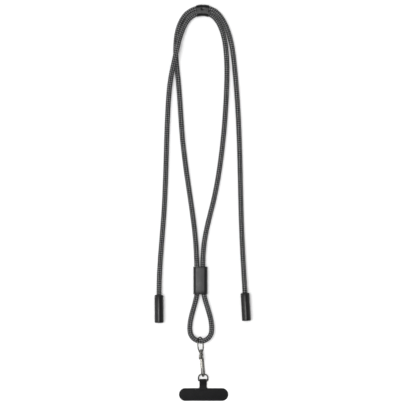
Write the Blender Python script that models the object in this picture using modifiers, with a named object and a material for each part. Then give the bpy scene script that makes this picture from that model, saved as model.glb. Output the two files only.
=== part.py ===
"""Charging cable lanyard, lying flat.

One braided charging cable is doubled into a neck loop. A sleeve at the back of the neck
and an oval slider hold its two strands together, a swivel trigger clasp hangs on the
teardrop below the slider, and a D-ring ties a flat T-shaped tether patch to the clasp.
Each end of the cable is a plug under a pull-off cap.

Metres, with X to the right, Y up the neck loop and Z out of the surface it lies on.
"""

import math

import bmesh
import bpy
import numpy as np
from mathutils import Matrix, Vector

# Clearances
CLEAR = 0.0003
HINGE_CLEAR = 0.0002

# Cord
CORD_D = 0.0061
CORD_POINTS = 80
CORD_STEP = 0.026
CORD_TURN = math.radians(16)

# Caps and the plugs under them
CAP_D = 0.0112
CAP_LENGTH = 0.0321
CAP_WALL = 0.0009
CAP_FLOOR = 0.0015
CAP_ROUND = 0.0010
COLLAR_LENGTH = 0.0024
COLLAR_ROUND = 0.0019
SOCKET_DEPTH = 0.0034
TIP_GAP = 0.00225
TONGUE_WIDTH = 0.00834
TONGUE_HEIGHT = 0.00256
TONGUE_LENGTH = 0.00665
LEFT_HEADING = math.radians(0.5)
RIGHT_HEADING = math.radians(3.2)

# Slider
SLIDER_PLACE = (-0.0030, -0.0969)
SLIDER_WIDTH = 0.0176
SLIDER_HEIGHT = 0.0087
SLIDER_LENGTH = 0.0341
SLIDER_WALL = 0.0007
RIM_SHARE = 0.35

# Neck clip
CLIP_PLACE = (-0.0002, 0.2402)
CLIP_WIDTH = 0.0146
CLIP_HEIGHT = 0.0085
CLIP_LENGTH = 0.0151
CLIP_WALL = 0.0005
CLIP_ARCH = 0.0282
CLIP_FLARE = 0.085
CLIP_CUTS = 8

# Swivel eye
CLASP_PLACE = (-0.0020, -0.1881)
CLASP_Z = 0.00555
CLASP_HEADING = math.radians(5.0)
EYE_TILT = math.radians(54)
EYE_LENGTH = 0.0190
EYE_WIDTH = 0.0112
EYE_SQUARE = 2.3
EYE_WIRE = 0.0015
EYE_COLLAR_D = 0.0044
EYE_COLLAR_LENGTH = 0.0024

# Clasp body
POST_D = 0.0020
POST_HEAD_D = 0.0035
POST_HEAD_LENGTH = 0.0021
BARREL_D = 0.0048
BARREL_LENGTH = 0.0030
HOOK_ROLL = math.radians(18)
HOOK_LENGTH = 0.0292
HOOK_HALF_SPAN = 0.00415
SPINE_R = 0.00125
BEND_R = 0.0008
NOSE_R = 0.00095
NOSE_LENGTH = 0.0052
EAR_R = 0.0017
EAR_FOOT = (0.0020, 0.0004)
EAR_THICK = 0.0008

# The post head's profile, as shares of its length and of its radius
POST_HEAD = [(0.0, 0.9), (0.25, 1.0), (0.65, 0.86), (1.0, 0.45)]

# The hook's run from its barrel to its spine, as shares of the barrel's length and the half span
HOOK_LEAD = [(0.5, 0.0), (1.0, 0.28), (1.45, 0.66), (2.1, 0.92), (3.0, 1.0)]

# Gate and its rivet
PIVOT = (0.0054, 0.0030)
GATE_THICK = 0.0017
GATE_ROOT_R = 0.0015
GATE_ARM_R = 0.0008
ARM_THICK = 0.00167
THUMB_THICK = 0.00163
THUMB_TIP = (0.0024, 0.0066)
THUMB_R = 0.0010
RIVET_D = 0.0012
RIVET_HEAD_D = 0.0020
RIVET_HEAD_LENGTH = 0.0004

# D-ring
RING_WIRE = 0.0016
RING_WIDTH = 0.0116
RING_TOP_ROUND = 0.0040
RING_DROP = -0.0010

# Tether patch
PATCH_THICK = 0.0010
PATCH_LENGTH = 0.0615
PATCH_WIDTH = 0.0159
PATCH_PLACE = (0.0010, -0.2396)
TAB_WIDTH = 0.0091
TAB_X = 0.0004
TAB_LAP = 0.0022
JUNCTION_ROUND = 0.0018
FOLD_SLOPE = 0.0050
FOLD_FOOT = 0.0066
BAR_Y = -0.2222

# Heights of the cord's centre line above where it lies on the surface
PLUG_LIFT = (CAP_D - CORD_D) / 2
SLIDER_LIFT = (SLIDER_HEIGHT - CORD_D) / 2
CLIP_LIFT = (CLIP_HEIGHT - CORD_D) / 2

# The cord's route as x, y and lift, from the left plug to the right one
ROUTE = [
    (-0.05475, -0.1180, PLUG_LIFT),
    (-0.0544, -0.0980, 0.0017),
    (-0.0486, -0.0120, 0.0),
    (-0.0434, 0.1200, 0.0),
    (-0.0392, 0.1600, 0.0030),
    (-0.0346, 0.1810, 0.0065),
    (-0.0305, 0.1995, 0.0058),
    (-0.0246, 0.2173, 0.0032),
    (-0.0150, 0.2316, 0.0018),
    (-0.0005, 0.2370, CLIP_LIFT),
    (0.0110, 0.2340, 0.0006),
    (0.0224, 0.2190, 0.0),
    (0.0283, 0.1950, 0.0),
    (0.0296, 0.1430, 0.0),
    (0.0222, 0.0530, 0.0),
    (0.0134, 0.0030, 0.0),
    (0.0017, -0.0500, 0.0004),
    (-0.0002, -0.0850, SLIDER_LIFT),
    (0.0016, -0.1155, SLIDER_LIFT),
    (0.0109, -0.1530, 0.0010),
    (0.0084, -0.1670, 0.0026),
    (-0.0026, -0.1726, 0.0024),
    (-0.0136, -0.1670, 0.0004),
    (-0.0161, -0.1530, 0.0),
    (-0.00765, -0.1155, SLIDER_LIFT),
    (-0.00715, -0.0850, SLIDER_LIFT),
    (-0.0089, -0.0500, 0.0004),
    (-0.0153, 0.0030, 0.0),
    (-0.0252, 0.0780, 0.0),
    (-0.0310, 0.1550, 0.0),
    (-0.0338, 0.1950, 0.0),
    (-0.0304, 0.2180, 0.0),
    (-0.0195, 0.2366, 0.0004),
    (-0.0005, 0.24345, CLIP_LIFT),
    (0.0150, 0.2394, 0.0004),
    (0.0281, 0.2222, 0.0),
    (0.0393, 0.1720, 0.0),
    (0.0452, 0.0850, 0.0),
    (0.0483, -0.0300, 0.0),
    (0.05275, -0.1155, PLUG_LIFT),
]

PARTS = "charging_cable_lanyard"
CUTTERS = "cutters"


def clear_scene():
    for obj in list(bpy.data.objects):
        bpy.data.objects.remove(obj, do_unlink=True)


def collection(name):
    made = bpy.data.collections.new(name)
    bpy.context.scene.collection.children.link(made)
    return made


def material(name, colour, roughness, metallic=0.0):
    made = bpy.data.materials.new(name)
    made.use_nodes = True
    shader = made.node_tree.nodes["Principled BSDF"]
    shader.inputs["Base Color"].default_value = (*colour, 1.0)
    shader.inputs["Roughness"].default_value = roughness
    shader.inputs["Metallic"].default_value = metallic
    return made


def add(name, data, parts, finish, place=None):
    """Links an object of this data, with its material and its place."""
    obj = bpy.data.objects.new(name, data)
    obj.matrix_world = place or Matrix()
    parts.objects.link(obj)
    obj.data.materials.clear()
    obj.data.materials.append(finish)
    return obj


def poly_curve(name, loops, flat=False, closed=True):
    """A curve datablock of straight-sided splines, each a list of points."""
    curve = bpy.data.curves.new(name, "CURVE")
    curve.dimensions = "2D" if flat else "3D"
    for points in loops:
        spline = curve.splines.new("POLY")
        spline.points.add(len(points) - 1)
        for point, place in zip(spline.points, points):
            x, y, z = (*place, 0.0)[:3]
            point.co = (x, y, z, 1.0)
        spline.use_cyclic_u = closed
    return curve


def meshed(curve, name):
    """The mesh that a curve makes, with its caps welded to its sides."""
    holder = bpy.data.objects.new(name, curve)
    bpy.context.scene.collection.objects.link(holder)
    graph = bpy.context.evaluated_depsgraph_get()
    mesh = bpy.data.meshes.new_from_object(holder.evaluated_get(graph))
    bpy.data.objects.remove(holder, do_unlink=True)
    shape = bmesh.new()
    shape.from_mesh(mesh)
    bmesh.ops.remove_doubles(shape, verts=shape.verts, dist=1e-6)
    bmesh.ops.recalc_face_normals(shape, faces=shape.faces)
    shape.to_mesh(mesh)
    shape.free()
    mesh.name = name
    return mesh


def plate(name, loops, thickness):
    """A flat outline, with any holes, made a mesh of this thickness about its plane."""
    curve = poly_curve(name, loops, flat=True)
    curve.fill_mode = "BOTH"
    curve.extrude = thickness / 2
    return meshed(curve, name)


def wire(name, points, radius, sides=2, closed=False, radii=None):
    """A round wire along these points, made a mesh. Radii may differ from point to point."""
    curve = poly_curve(name, [points], closed=closed)
    curve.bevel_depth = radius
    curve.bevel_resolution = sides
    curve.use_fill_caps = not closed
    if radii:
        for point, own in zip(curve.splines[0].points, radii):
            point.radius = own / radius
    return meshed(curve, name)


def cylinder(name, radius, start, end, sides=20, axis="X"):
    """A cylinder from start to end along a local axis."""
    shape = bmesh.new()
    bmesh.ops.create_cone(
        shape, cap_ends=True, segments=sides, radius1=radius, radius2=radius, depth=end - start
    )
    turn = {"X": Matrix.Rotation(math.pi / 2, 4, "Y"), "Z": Matrix()}[axis]
    middle = Vector(((start + end) / 2, 0, 0)) if axis == "X" else Vector((0, 0, (start + end) / 2))
    bmesh.ops.transform(shape, matrix=Matrix.Translation(middle) @ turn, verts=shape.verts)
    mesh = bpy.data.meshes.new(name)
    shape.to_mesh(mesh)
    shape.free()
    return mesh


def boolean(target, operation, mesh, cutters, place=None):
    """Joins a mesh to the target or cuts it away, as a live modifier with its helper hidden."""
    helper = bpy.data.objects.new(f"{target.name}_{mesh.name}", mesh)
    helper.matrix_world = place or target.matrix_world
    helper.hide_render = True
    helper.display_type = "WIRE"
    cutters.objects.link(helper)
    cut = target.modifiers.new(helper.name, "BOOLEAN")
    cut.operation = operation
    cut.object = helper
    cut.solver = "EXACT"


def smooth(obj, angle=40):
    obj.data.shade_smooth()
    obj.data.set_sharp_from_angle(angle=math.radians(angle))


def turned(name, profile, steps, parts, finish, place):
    """A shape turned about its local Z axis from a profile of radius and height."""
    mesh = bpy.data.meshes.new(name)
    points = [(radius, 0.0, height) for radius, height in profile]
    mesh.from_pydata(points, [(i, i + 1) for i in range(len(points) - 1)], [])
    obj = add(name, mesh, parts, finish, place)
    screw = obj.modifiers.new("turn", "SCREW")
    screw.steps = steps
    screw.render_steps = steps
    screw.use_merge_vertices = True
    screw.merge_threshold = 0.00001
    return obj


def arc(centre, radius, start, end, steps):
    """Points on a circular arc, with its ends, angles in degrees."""
    angles = [math.radians(start + (end - start) * i / steps) for i in range(steps + 1)]
    return [(centre[0] + radius * math.cos(a), centre[1] + radius * math.sin(a)) for a in angles]


def stadium(width, height, steps=10):
    """A flat outline with two straight sides and two half-round ends."""
    radius = height / 2
    reach = width / 2 - radius
    return arc((reach, 0), radius, -90, 90, steps) + arc((-reach, 0), radius, 90, 270, steps)


def natural_spline(points):
    """A smooth curve through the points, as a function of its parameter, and its last parameter."""
    knots = np.concatenate([[0], np.cumsum(np.linalg.norm(np.diff(points[:, :2], axis=0), axis=1))])
    gaps = np.diff(knots)
    count = len(points)
    system = np.eye(count)
    pull = np.zeros_like(points)
    for i in range(1, count - 1):
        before, after = gaps[i - 1], gaps[i]
        system[i, i - 1 : i + 2] = before, 2 * (before + after), after
        pull[i] = 6 * ((points[i + 1] - points[i]) / after - (points[i] - points[i - 1]) / before)
    bends = np.linalg.solve(system, pull)

    def at(where):
        i = np.clip(np.searchsorted(knots, where, side="right") - 1, 0, count - 2)
        gap = gaps[i][:, None]
        a = (knots[i + 1] - where)[:, None] / gap
        b = (where - knots[i])[:, None] / gap
        bow = ((a**3 - a) * bends[i] + (b**3 - b) * bends[i + 1]) * gap**2 / 6
        return a * points[i] + b * points[i + 1] + bow

    return at, knots[-1]


def cord_line():
    """The cord's centre line, with its points closer together where it bends."""
    at, last = natural_spline(np.array(ROUTE))
    fine = at(np.linspace(0, last, 6000))
    fine[:, 2] = CORD_D / 2 + np.maximum(fine[:, 2], 0)
    steps = np.diff(fine, axis=0)
    lengths = np.linalg.norm(steps, axis=1)
    ways = steps / lengths[:, None]
    turns = np.arccos(np.clip((ways[1:] * ways[:-1]).sum(axis=1), -1, 1))
    need = np.concatenate([[0], np.cumsum(lengths / CORD_STEP + np.append(turns, 0) / CORD_TURN)])
    picks = np.interp(np.linspace(0, need[-1], CORD_POINTS), need, np.arange(len(fine)))
    return [tuple(fine[int(round(i))]) for i in picks]


def build_cord(parts, finish):
    curve = poly_curve("cord", [cord_line()], closed=False)
    curve.bevel_depth = CORD_D / 2
    curve.bevel_resolution = 3
    curve.use_fill_caps = True
    return add("cord", curve, parts, finish)


def facing(place, x_way, y_way):
    """A frame at a place, from its X and Y directions."""
    x_axis = Vector(x_way).normalized()
    z_axis = x_axis.cross(Vector(y_way)).normalized()
    y_axis = z_axis.cross(x_axis)
    return Matrix.Translation(place) @ Matrix((x_axis, y_axis, z_axis)).transposed().to_4x4()


def sleeve(name, width, height, length, wall, parts, finish, place):
    """An oval tube along its local Z axis, with rounded rims."""
    loops = [stadium(width, height), stadium(width - 2 * wall, height - 2 * wall)]
    obj = add(name, plate(name, loops, length), parts, finish, place)
    rims = obj.modifiers.new("rims", "BEVEL")
    rims.width = wall * RIM_SHARE
    rims.segments = 2
    rims.limit_method = "ANGLE"
    rims.angle_limit = math.radians(60)
    smooth(obj)
    return obj


def build_slider(parts, finish):
    place = facing((*SLIDER_PLACE, SLIDER_HEIGHT / 2), (1, 0, 0), (0, 0, 1))
    sleeve("slider", SLIDER_WIDTH, SLIDER_HEIGHT, SLIDER_LENGTH, SLIDER_WALL, parts, finish, place)


def build_neck_clip(parts, finish):
    """The sleeve round both strands at the back of the neck, arched with them."""
    place = facing((*CLIP_PLACE, CLIP_HEIGHT / 2), (0, 1, 0), (0, 0, 1))
    obj = sleeve("neck_clip", CLIP_WIDTH, CLIP_HEIGHT, CLIP_LENGTH, CLIP_WALL, parts, finish, place)
    shape = bmesh.new()
    shape.from_mesh(obj.data)
    for i in range(1, CLIP_CUTS):
        station = CLIP_LENGTH * (i / CLIP_CUTS - 0.5)
        bmesh.ops.bisect_plane(
            shape,
            geom=shape.verts[:] + shape.edges[:] + shape.faces[:],
            plane_co=(0, 0, station),
            plane_no=(0, 0, 1),
        )
    for vert in shape.verts:
        outward = vert.co.x / (CLIP_WIDTH / 2)
        vert.co.x += math.sqrt(CLIP_ARCH**2 - vert.co.z**2) - CLIP_ARCH
        vert.co.z *= 1 + CLIP_FLARE * outward
    shape.to_mesh(obj.data)
    shape.free()


def plug_frame(end, heading):
    """The frame at the mouth of a plug: Z points back along the cord, away from the tip."""
    x, y, lift = ROUTE[end]
    back = Vector((-math.sin(heading), math.cos(heading), 0))
    mouth = Vector((x, y, CORD_D / 2 + lift)) + back * (SOCKET_DEPTH - CLEAR)
    side = Vector((math.cos(heading), math.sin(heading), 0))
    return facing(mouth, side, back.cross(side))


def build_plug(name, place, parts, cutters, finish):
    """The moulded plug: a domed collar outside the cap, a body inside it and a flat tongue."""
    collar_r = CAP_D / 2
    body_r = collar_r - CAP_WALL - CLEAR
    socket_r = CORD_D / 2 + CLEAR
    mouth = -COLLAR_LENGTH - CLEAR
    tip = mouth - CAP_LENGTH + CAP_FLOOR + TIP_GAP + TONGUE_LENGTH
    dome = arc((collar_r - COLLAR_ROUND, -COLLAR_ROUND), COLLAR_ROUND, 90, 0, 5)
    profile = [(0, -SOCKET_DEPTH), (socket_r, -SOCKET_DEPTH), (socket_r, 0), *dome]
    profile += [(collar_r, -COLLAR_LENGTH), (body_r, -COLLAR_LENGTH), (body_r, tip), (0, tip)]
    obj = turned(name, profile, 32, parts, finish, place)
    tongue = plate("tongue", [stadium(TONGUE_WIDTH, TONGUE_HEIGHT, 6)], 2 * TONGUE_LENGTH)
    boolean(obj, "UNION", tongue, cutters, place @ Matrix.Translation((0, 0, tip)))
    smooth(obj)


def build_cap(name, place, parts, finish):
    """The pull-off cap, its origin at its mouth on the axis it slides along."""
    outer_r = CAP_D / 2
    inner_r = outer_r - CAP_WALL
    end = -CAP_LENGTH
    rim = arc((outer_r - CAP_WALL / 3, -CAP_WALL / 3), CAP_WALL / 3, 90, 0, 2)
    foot = arc((outer_r - CAP_ROUND, end + CAP_ROUND), CAP_ROUND, 0, -90, 4)
    profile = [(0, end + CAP_FLOOR), (inner_r, end + CAP_FLOOR), (inner_r, 0), *rim, *foot, (0, end)]
    mouth = place @ Matrix.Translation((0, 0, -COLLAR_LENGTH - CLEAR))
    smooth(turned(name, profile, 32, parts, finish, mouth))


def clasp_frame(lean):
    """The clasp's frame at the hook's shoulder: X along it, Y leaning left of upright by lean."""
    along = Vector((math.sin(CLASP_HEADING), -math.cos(CLASP_HEADING), 0))
    left = Vector((-math.cos(CLASP_HEADING), -math.sin(CLASP_HEADING), 0))
    up = Vector((0, 0, math.cos(lean))) + left * math.sin(lean)
    return facing((*CLASP_PLACE, CLASP_Z), along, up)


def eye_centre():
    """The middle of the eye on the clasp's axis, with its collar just above the shoulder."""
    return -(CLEAR + EYE_COLLAR_LENGTH / 2 + EYE_LENGTH / 2)


def build_eye(parts, cutters, finish):
    """The oval wire eye on the cord, and the collar that turns on the hook's post."""
    place = clasp_frame(math.pi / 2 - EYE_TILT)
    centre = eye_centre()
    points = []
    for i in range(36):
        angle = 2 * math.pi * i / 36
        along = math.copysign(abs(math.cos(angle)) ** (2 / EYE_SQUARE), math.cos(angle))
        across = math.copysign(abs(math.sin(angle)) ** (2 / EYE_SQUARE), math.sin(angle))
        points.append((centre + along * EYE_LENGTH / 2, across * EYE_WIDTH / 2, 0))
    mesh = wire("clasp_eye", points, EYE_WIRE / 2, closed=True)
    obj = add("clasp_eye", mesh, parts, finish, place)
    top = -CLEAR - EYE_COLLAR_LENGTH
    boolean(obj, "UNION", cylinder("collar", EYE_COLLAR_D / 2, top, -CLEAR), cutters)
    bore = cylinder("bore", POST_D / 2 + CLEAR, top - EYE_WIRE, EYE_WIRE)
    boolean(obj, "DIFFERENCE", bore, cutters)
    smooth(obj)


def hook_line():
    """The hook's centre line and its radius along it, from the barrel round to the nose."""
    bend_x = HOOK_LENGTH - BEND_R - HOOK_HALF_SPAN
    span = HOOK_HALF_SPAN
    lead = [(BARREL_LENGTH * along, -span * down) for along, down in HOOK_LEAD]
    spine = [((lead[-1][0] + bend_x) / 2, -span)]
    bend = arc((bend_x, 0), span, -90, 90, 12)
    nose = [(bend_x - NOSE_LENGTH * 0.6, span), (bend_x - NOSE_LENGTH, span - NOSE_R * 0.2)]
    turn = [SPINE_R + (BEND_R - SPINE_R) * min(i / 6, 1) for i in range(13)]
    turn[9:] = [BEND_R + (NOSE_R - BEND_R) * (i + 1) / 4 for i in range(4)]
    radii = [SPINE_R] * (len(lead) + len(spine)) + turn + [NOSE_R, NOSE_R * 0.85]
    return lead + spine + bend + nose, radii


def build_hook(parts, cutters, finish):
    """The cast hook: swivel post with its head, barrel, two ears for the gate and the hook."""
    place = clasp_frame(HOOK_ROLL)
    line, radii = hook_line()
    mesh = wire("clasp_hook", line, SPINE_R, radii=radii)
    obj = add("clasp_hook", mesh, parts, finish, place)
    boolean(obj, "UNION", cylinder("barrel", BARREL_D / 2, 0, BARREL_LENGTH), cutters)
    neck = -2 * CLEAR - EYE_COLLAR_LENGTH
    boolean(obj, "UNION", cylinder("post", POST_D / 2, neck - POST_HEAD_LENGTH / 2, 0.001), cutters)
    head_r = POST_HEAD_D / 2
    head = wire(
        "post_head",
        [(neck - POST_HEAD_LENGTH * share, 0, 0) for share, _ in POST_HEAD],
        head_r,
        sides=4,
        radii=[head_r * share for _, share in POST_HEAD],
    )
    boolean(obj, "UNION", head, cutters)
    foot, pivot_at = Vector(EAR_FOOT), Vector(PIVOT)
    reach = (pivot_at - foot).length
    lean = math.atan2(*(pivot_at - foot).yx)
    ear = [(x + reach / 2, y) for x, y in stadium(reach + 2 * EAR_R, 2 * EAR_R, 8)]
    offset = GATE_THICK / 2 + HINGE_CLEAR + EAR_THICK / 2
    for side in (-1, 1):
        at = place @ Matrix.Translation((*foot, side * offset)) @ Matrix.Rotation(lean, 4, "Z")
        boolean(obj, "UNION", plate(f"ear_{side + 1}", [ear], EAR_THICK), cutters, at)
    pivot = place @ Matrix.Translation((*PIVOT, 0))
    hole = cylinder("rivet_hole", RIVET_D / 2 + HINGE_CLEAR, -2 * offset, 2 * offset, 16, "Z")
    boolean(obj, "DIFFERENCE", hole, cutters, pivot)
    slot = cylinder("gate_slot", GATE_ROOT_R + 2 * HINGE_CLEAR, 0, GATE_THICK + 2 * HINGE_CLEAR, 20, "Z")
    middle = Matrix.Translation((0, 0, -GATE_THICK / 2 - HINGE_CLEAR))
    boolean(obj, "DIFFERENCE", slot, cutters, pivot @ middle)
    smooth(obj)


def gate_tip():
    """How far along the clasp the gate reaches, just short of the nose."""
    nose_end = HOOK_LENGTH - BEND_R - HOOK_HALF_SPAN - NOSE_LENGTH
    return nose_end - CLEAR


def build_gate(parts, cutters, finish):
    """The sprung gate, its origin on the pivot: root disc, arm to the nose and thumb nub."""
    place = clasp_frame(HOOK_ROLL) @ Matrix.Translation((*PIVOT, 0))
    tip = gate_tip() - PIVOT[0] - GATE_ARM_R
    rise = HOOK_HALF_SPAN - PIVOT[1]
    root = arc((0, 0), GATE_ROOT_R, 0, 360, 20)[:-1]
    obj = add("clasp_gate", plate("clasp_gate", [root], GATE_THICK), parts, finish, place)
    arm = stadium(math.hypot(tip, rise) + 2 * GATE_ARM_R, 2 * GATE_ARM_R, 6)
    arm = [(x + math.hypot(tip, rise) / 2, y) for x, y in arm]
    at = place @ Matrix.Rotation(math.atan2(rise, tip), 4, "Z")
    boolean(obj, "UNION", plate("arm", [arm], ARM_THICK), cutters, at)
    back = (THUMB_TIP[0] - PIVOT[0], THUMB_TIP[1] - PIVOT[1])
    reach = math.hypot(*back)
    thumb = [(x + reach / 2, y) for x, y in stadium(reach + 2 * THUMB_R, 2 * THUMB_R, 6)]
    at = place @ Matrix.Rotation(math.atan2(back[1], back[0]), 4, "Z")
    boolean(obj, "UNION", plate("thumb", [thumb], THUMB_THICK), cutters, at)
    hole = cylinder("hole", RIVET_D / 2 + HINGE_CLEAR, -GATE_THICK, GATE_THICK, 16, "Z")
    boolean(obj, "DIFFERENCE", hole, cutters, place)
    smooth(obj)


def build_rivet(parts, finish):
    """The headed rivet through both ears and the gate."""
    half = GATE_THICK / 2 + HINGE_CLEAR + EAR_THICK + HINGE_CLEAR
    top = half + RIVET_HEAD_LENGTH
    shank, head = RIVET_D / 2, RIVET_HEAD_D / 2
    profile = [(0, top), (head * 0.8, top), (head, half), (shank, half)]
    profile += [(radius, -height) for radius, height in reversed(profile)]
    place = clasp_frame(HOOK_ROLL) @ Matrix.Translation((*PIVOT, 0))
    smooth(turned("clasp_rivet", profile, 16, parts, finish, place))


def fold_radius():
    """The outer radius of the tab's fold round the ring's bar, which is also the bar's height."""
    return RING_WIRE / 2 + CLEAR + PATCH_THICK


def ring_frame():
    """The ring's frame at the middle of its bar: X along the bar, Y up to its seat in the hook."""
    bend_x = HOOK_LENGTH - BEND_R - HOOK_HALF_SPAN
    inside = HOOK_HALF_SPAN - BEND_R - RING_WIRE / 2 - CLEAR
    along = bend_x + math.sqrt(inside**2 - RING_DROP**2)
    seat = clasp_frame(HOOK_ROLL) @ Vector((along, RING_DROP, 0))
    bar = Vector((TAB_X, BAR_Y, fold_radius()))
    up = seat - bar
    up.x = 0
    return facing(bar, (1, 0, 0), up), up.length


def build_ring(parts, finish):
    """The D-ring, its straight bar in the tab and its round top through the hook."""
    place, height = ring_frame()
    half = RING_WIDTH / 2
    low, high = (RING_WIDTH - TAB_WIDTH) / 2, RING_TOP_ROUND
    line = arc((half - low, low), low, -90, 0, 4)
    line += arc((half - high, height - high), high, 0, 90, 6)
    line += arc((high - half, height - high), high, 90, 180, 6)
    line += arc((low - half, low), low, 180, 270, 4)
    mesh = wire("d_ring", line, RING_WIRE / 2, closed=True)
    smooth(add("d_ring", mesh, parts, finish, place))


def patch_outline():
    """The T-shaped outline from above: a pill with a tab that runs up under the ring's bar."""
    x, y = PATCH_PLACE
    end_r = PATCH_WIDTH / 2
    reach = PATCH_LENGTH / 2 - end_r
    round_r = JUNCTION_ROUND
    right, left = TAB_X + TAB_WIDTH / 2, TAB_X - TAB_WIDTH / 2
    outline = arc((x + reach, y), end_r, -90, 90, 14)
    outline += arc((right + round_r, y + end_r + round_r), round_r, 270, 180, 4)
    outline += [(right, BAR_Y), (left, BAR_Y)]
    outline += arc((left - round_r, y + end_r + round_r), round_r, 0, -90, 4)
    outline += arc((x - reach, y), end_r, 90, 270, 14)
    return outline


def tab_section():
    """The tab from the side, as lengths up Z and along Y: folded round the bar and sewn down."""
    outer = fold_radius()
    inner = outer - PATCH_THICK
    lap_end = PATCH_PLACE[1] + PATCH_WIDTH / 2 - TAB_LAP
    double = 2 * PATCH_THICK
    section = [(lap_end, 0.0), *arc((BAR_Y, outer), outer, -90, 120, 14)]
    section += [(BAR_Y - FOLD_SLOPE, 1.1 * double), (BAR_Y - FOLD_FOOT, double), (lap_end, double)]
    return [section, arc((BAR_Y, outer), inner, 0, 360, 16)[:-1]]


def build_patch(parts, cutters, finish):
    """The flat tether patch, lying on the surface with its tab folded round the D-ring."""
    lift = Matrix.Translation((0, 0, PATCH_THICK / 2))
    obj = add("tether_patch", plate("tether_patch", [patch_outline()], PATCH_THICK), parts, finish, lift)
    fold = plate("fold", tab_section(), TAB_WIDTH)
    boolean(obj, "UNION", fold, cutters, facing((TAB_X, 0, 0), (0, 1, 0), (0, 0, 1)))
    slot = cylinder("bar_slot", fold_radius() - PATCH_THICK, -TAB_WIDTH, TAB_WIDTH, 16, "X")
    boolean(obj, "DIFFERENCE", slot, cutters, Matrix.Translation((TAB_X, BAR_Y, fold_radius())))
    smooth(obj)


def main():
    clear_scene()
    parts = collection(PARTS)
    cutters = collection(CUTTERS)
    braid = material("braided_polyester", (0.075, 0.075, 0.085), 0.85)
    satin = material("satin_black_metal", (0.030, 0.030, 0.032), 0.38)
    moulded = material("black_moulded_plastic", (0.028, 0.028, 0.030), 0.50)
    plated = material("nickel_plated_zinc", (0.62, 0.62, 0.60), 0.22, 1.0)
    coated = material("coated_black_fabric", (0.018, 0.018, 0.019), 0.70)

    build_cord(parts, braid)
    build_slider(parts, satin)
    build_neck_clip(parts, satin)
    for side, end, heading in (("left", 0, LEFT_HEADING), ("right", -1, RIGHT_HEADING)):
        place = plug_frame(end, heading)
        build_plug(f"plug_{side}", place, parts, cutters, moulded)
        build_cap(f"cap_{side}", place, parts, satin)
    build_eye(parts, cutters, plated)
    build_hook(parts, cutters, plated)
    build_gate(parts, cutters, plated)
    build_rivet(parts, plated)
    build_ring(parts, plated)
    build_patch(parts, cutters, coated)


main()
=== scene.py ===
"""The charging cable lanyard as it looks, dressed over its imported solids.

It lies flat on a pale table. X runs to the right, Y up the neck loop and Z out of the
table. Everything is in metres.
"""

from __future__ import annotations

import logging
import math
from dataclasses import dataclass
from enum import Enum
from functools import partial
from typing import Any, Callable, Iterable, Sequence

import bpy
import numpy as np
from bpy.types import Material, Node, NodeSocket, NodeTree, Object
from mathutils import Matrix, Vector


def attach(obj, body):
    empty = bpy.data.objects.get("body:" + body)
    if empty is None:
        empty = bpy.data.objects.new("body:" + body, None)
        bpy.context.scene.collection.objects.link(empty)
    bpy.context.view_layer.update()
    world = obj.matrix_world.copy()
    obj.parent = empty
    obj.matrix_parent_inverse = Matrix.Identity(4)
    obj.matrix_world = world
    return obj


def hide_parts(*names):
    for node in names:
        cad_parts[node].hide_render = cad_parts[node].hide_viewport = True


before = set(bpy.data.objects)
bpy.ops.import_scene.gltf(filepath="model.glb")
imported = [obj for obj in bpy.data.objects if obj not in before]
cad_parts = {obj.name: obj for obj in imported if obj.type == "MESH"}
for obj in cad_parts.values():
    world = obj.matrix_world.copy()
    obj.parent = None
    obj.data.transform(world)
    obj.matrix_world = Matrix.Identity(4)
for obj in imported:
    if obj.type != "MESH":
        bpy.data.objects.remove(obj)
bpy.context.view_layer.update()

log = logging.getLogger("lanyard")

MM = 0.001
CORD_D = 6.1 * MM
CAP_D = 11.2 * MM
SLIDER_HEIGHT = 8.7 * MM
CLIP_HEIGHT = 8.5 * MM
CLEAR = 0.3 * MM
NEAR = 0.01 * MM
CLASP_SHOULDER = (-0.0020, -0.1881, 0.00555)
CLASP_HEADING = 5.0

PLUG_LIFT = (CAP_D - CORD_D) / 2
SLIDER_LIFT = (SLIDER_HEIGHT - CORD_D) / 2
CLIP_LIFT = (CLIP_HEIGHT - CORD_D) / 2

# The cord's route as x, y and lift off the table, from the left plug to the right one
ROUTE = [
    (-0.05475, -0.1180, PLUG_LIFT),
    (-0.0544, -0.0980, 0.0017),
    (-0.0486, -0.0120, 0.0),
    (-0.0434, 0.1200, 0.0),
    (-0.0392, 0.1600, 0.0030),
    (-0.0346, 0.1810, 0.0065),
    (-0.0305, 0.1995, 0.0058),
    (-0.0246, 0.2173, 0.0032),
    (-0.0150, 0.2316, 0.0018),
    (-0.0005, 0.2370, CLIP_LIFT),
    (0.0110, 0.2340, 0.0006),
    (0.0224, 0.2190, 0.0),
    (0.0283, 0.1950, 0.0),
    (0.0296, 0.1430, 0.0),
    (0.0222, 0.0530, 0.0),
    (0.0134, 0.0030, 0.0),
    (0.0017, -0.0500, 0.0004),
    (-0.0002, -0.0850, SLIDER_LIFT),
    (0.0016, -0.1155, SLIDER_LIFT),
    (0.0109, -0.1530, 0.0010),
    (0.0084, -0.1670, 0.0026),
    (-0.0026, -0.1726, 0.0024),
    (-0.0136, -0.1670, 0.0004),
    (-0.0161, -0.1530, 0.0),
    (-0.00765, -0.1155, SLIDER_LIFT),
    (-0.00715, -0.0850, SLIDER_LIFT),
    (-0.0089, -0.0500, 0.0004),
    (-0.0153, 0.0030, 0.0),
    (-0.0252, 0.0780, 0.0),
    (-0.0310, 0.1550, 0.0),
    (-0.0338, 0.1950, 0.0),
    (-0.0304, 0.2180, 0.0),
    (-0.0195, 0.2366, 0.0004),
    (-0.0005, 0.24345, CLIP_LIFT),
    (0.0150, 0.2394, 0.0004),
    (0.0281, 0.2222, 0.0),
    (0.0393, 0.1720, 0.0),
    (0.0452, 0.0850, 0.0),
    (0.0483, -0.0300, 0.0),
    (0.05275, -0.1155, PLUG_LIFT),
]


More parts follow.
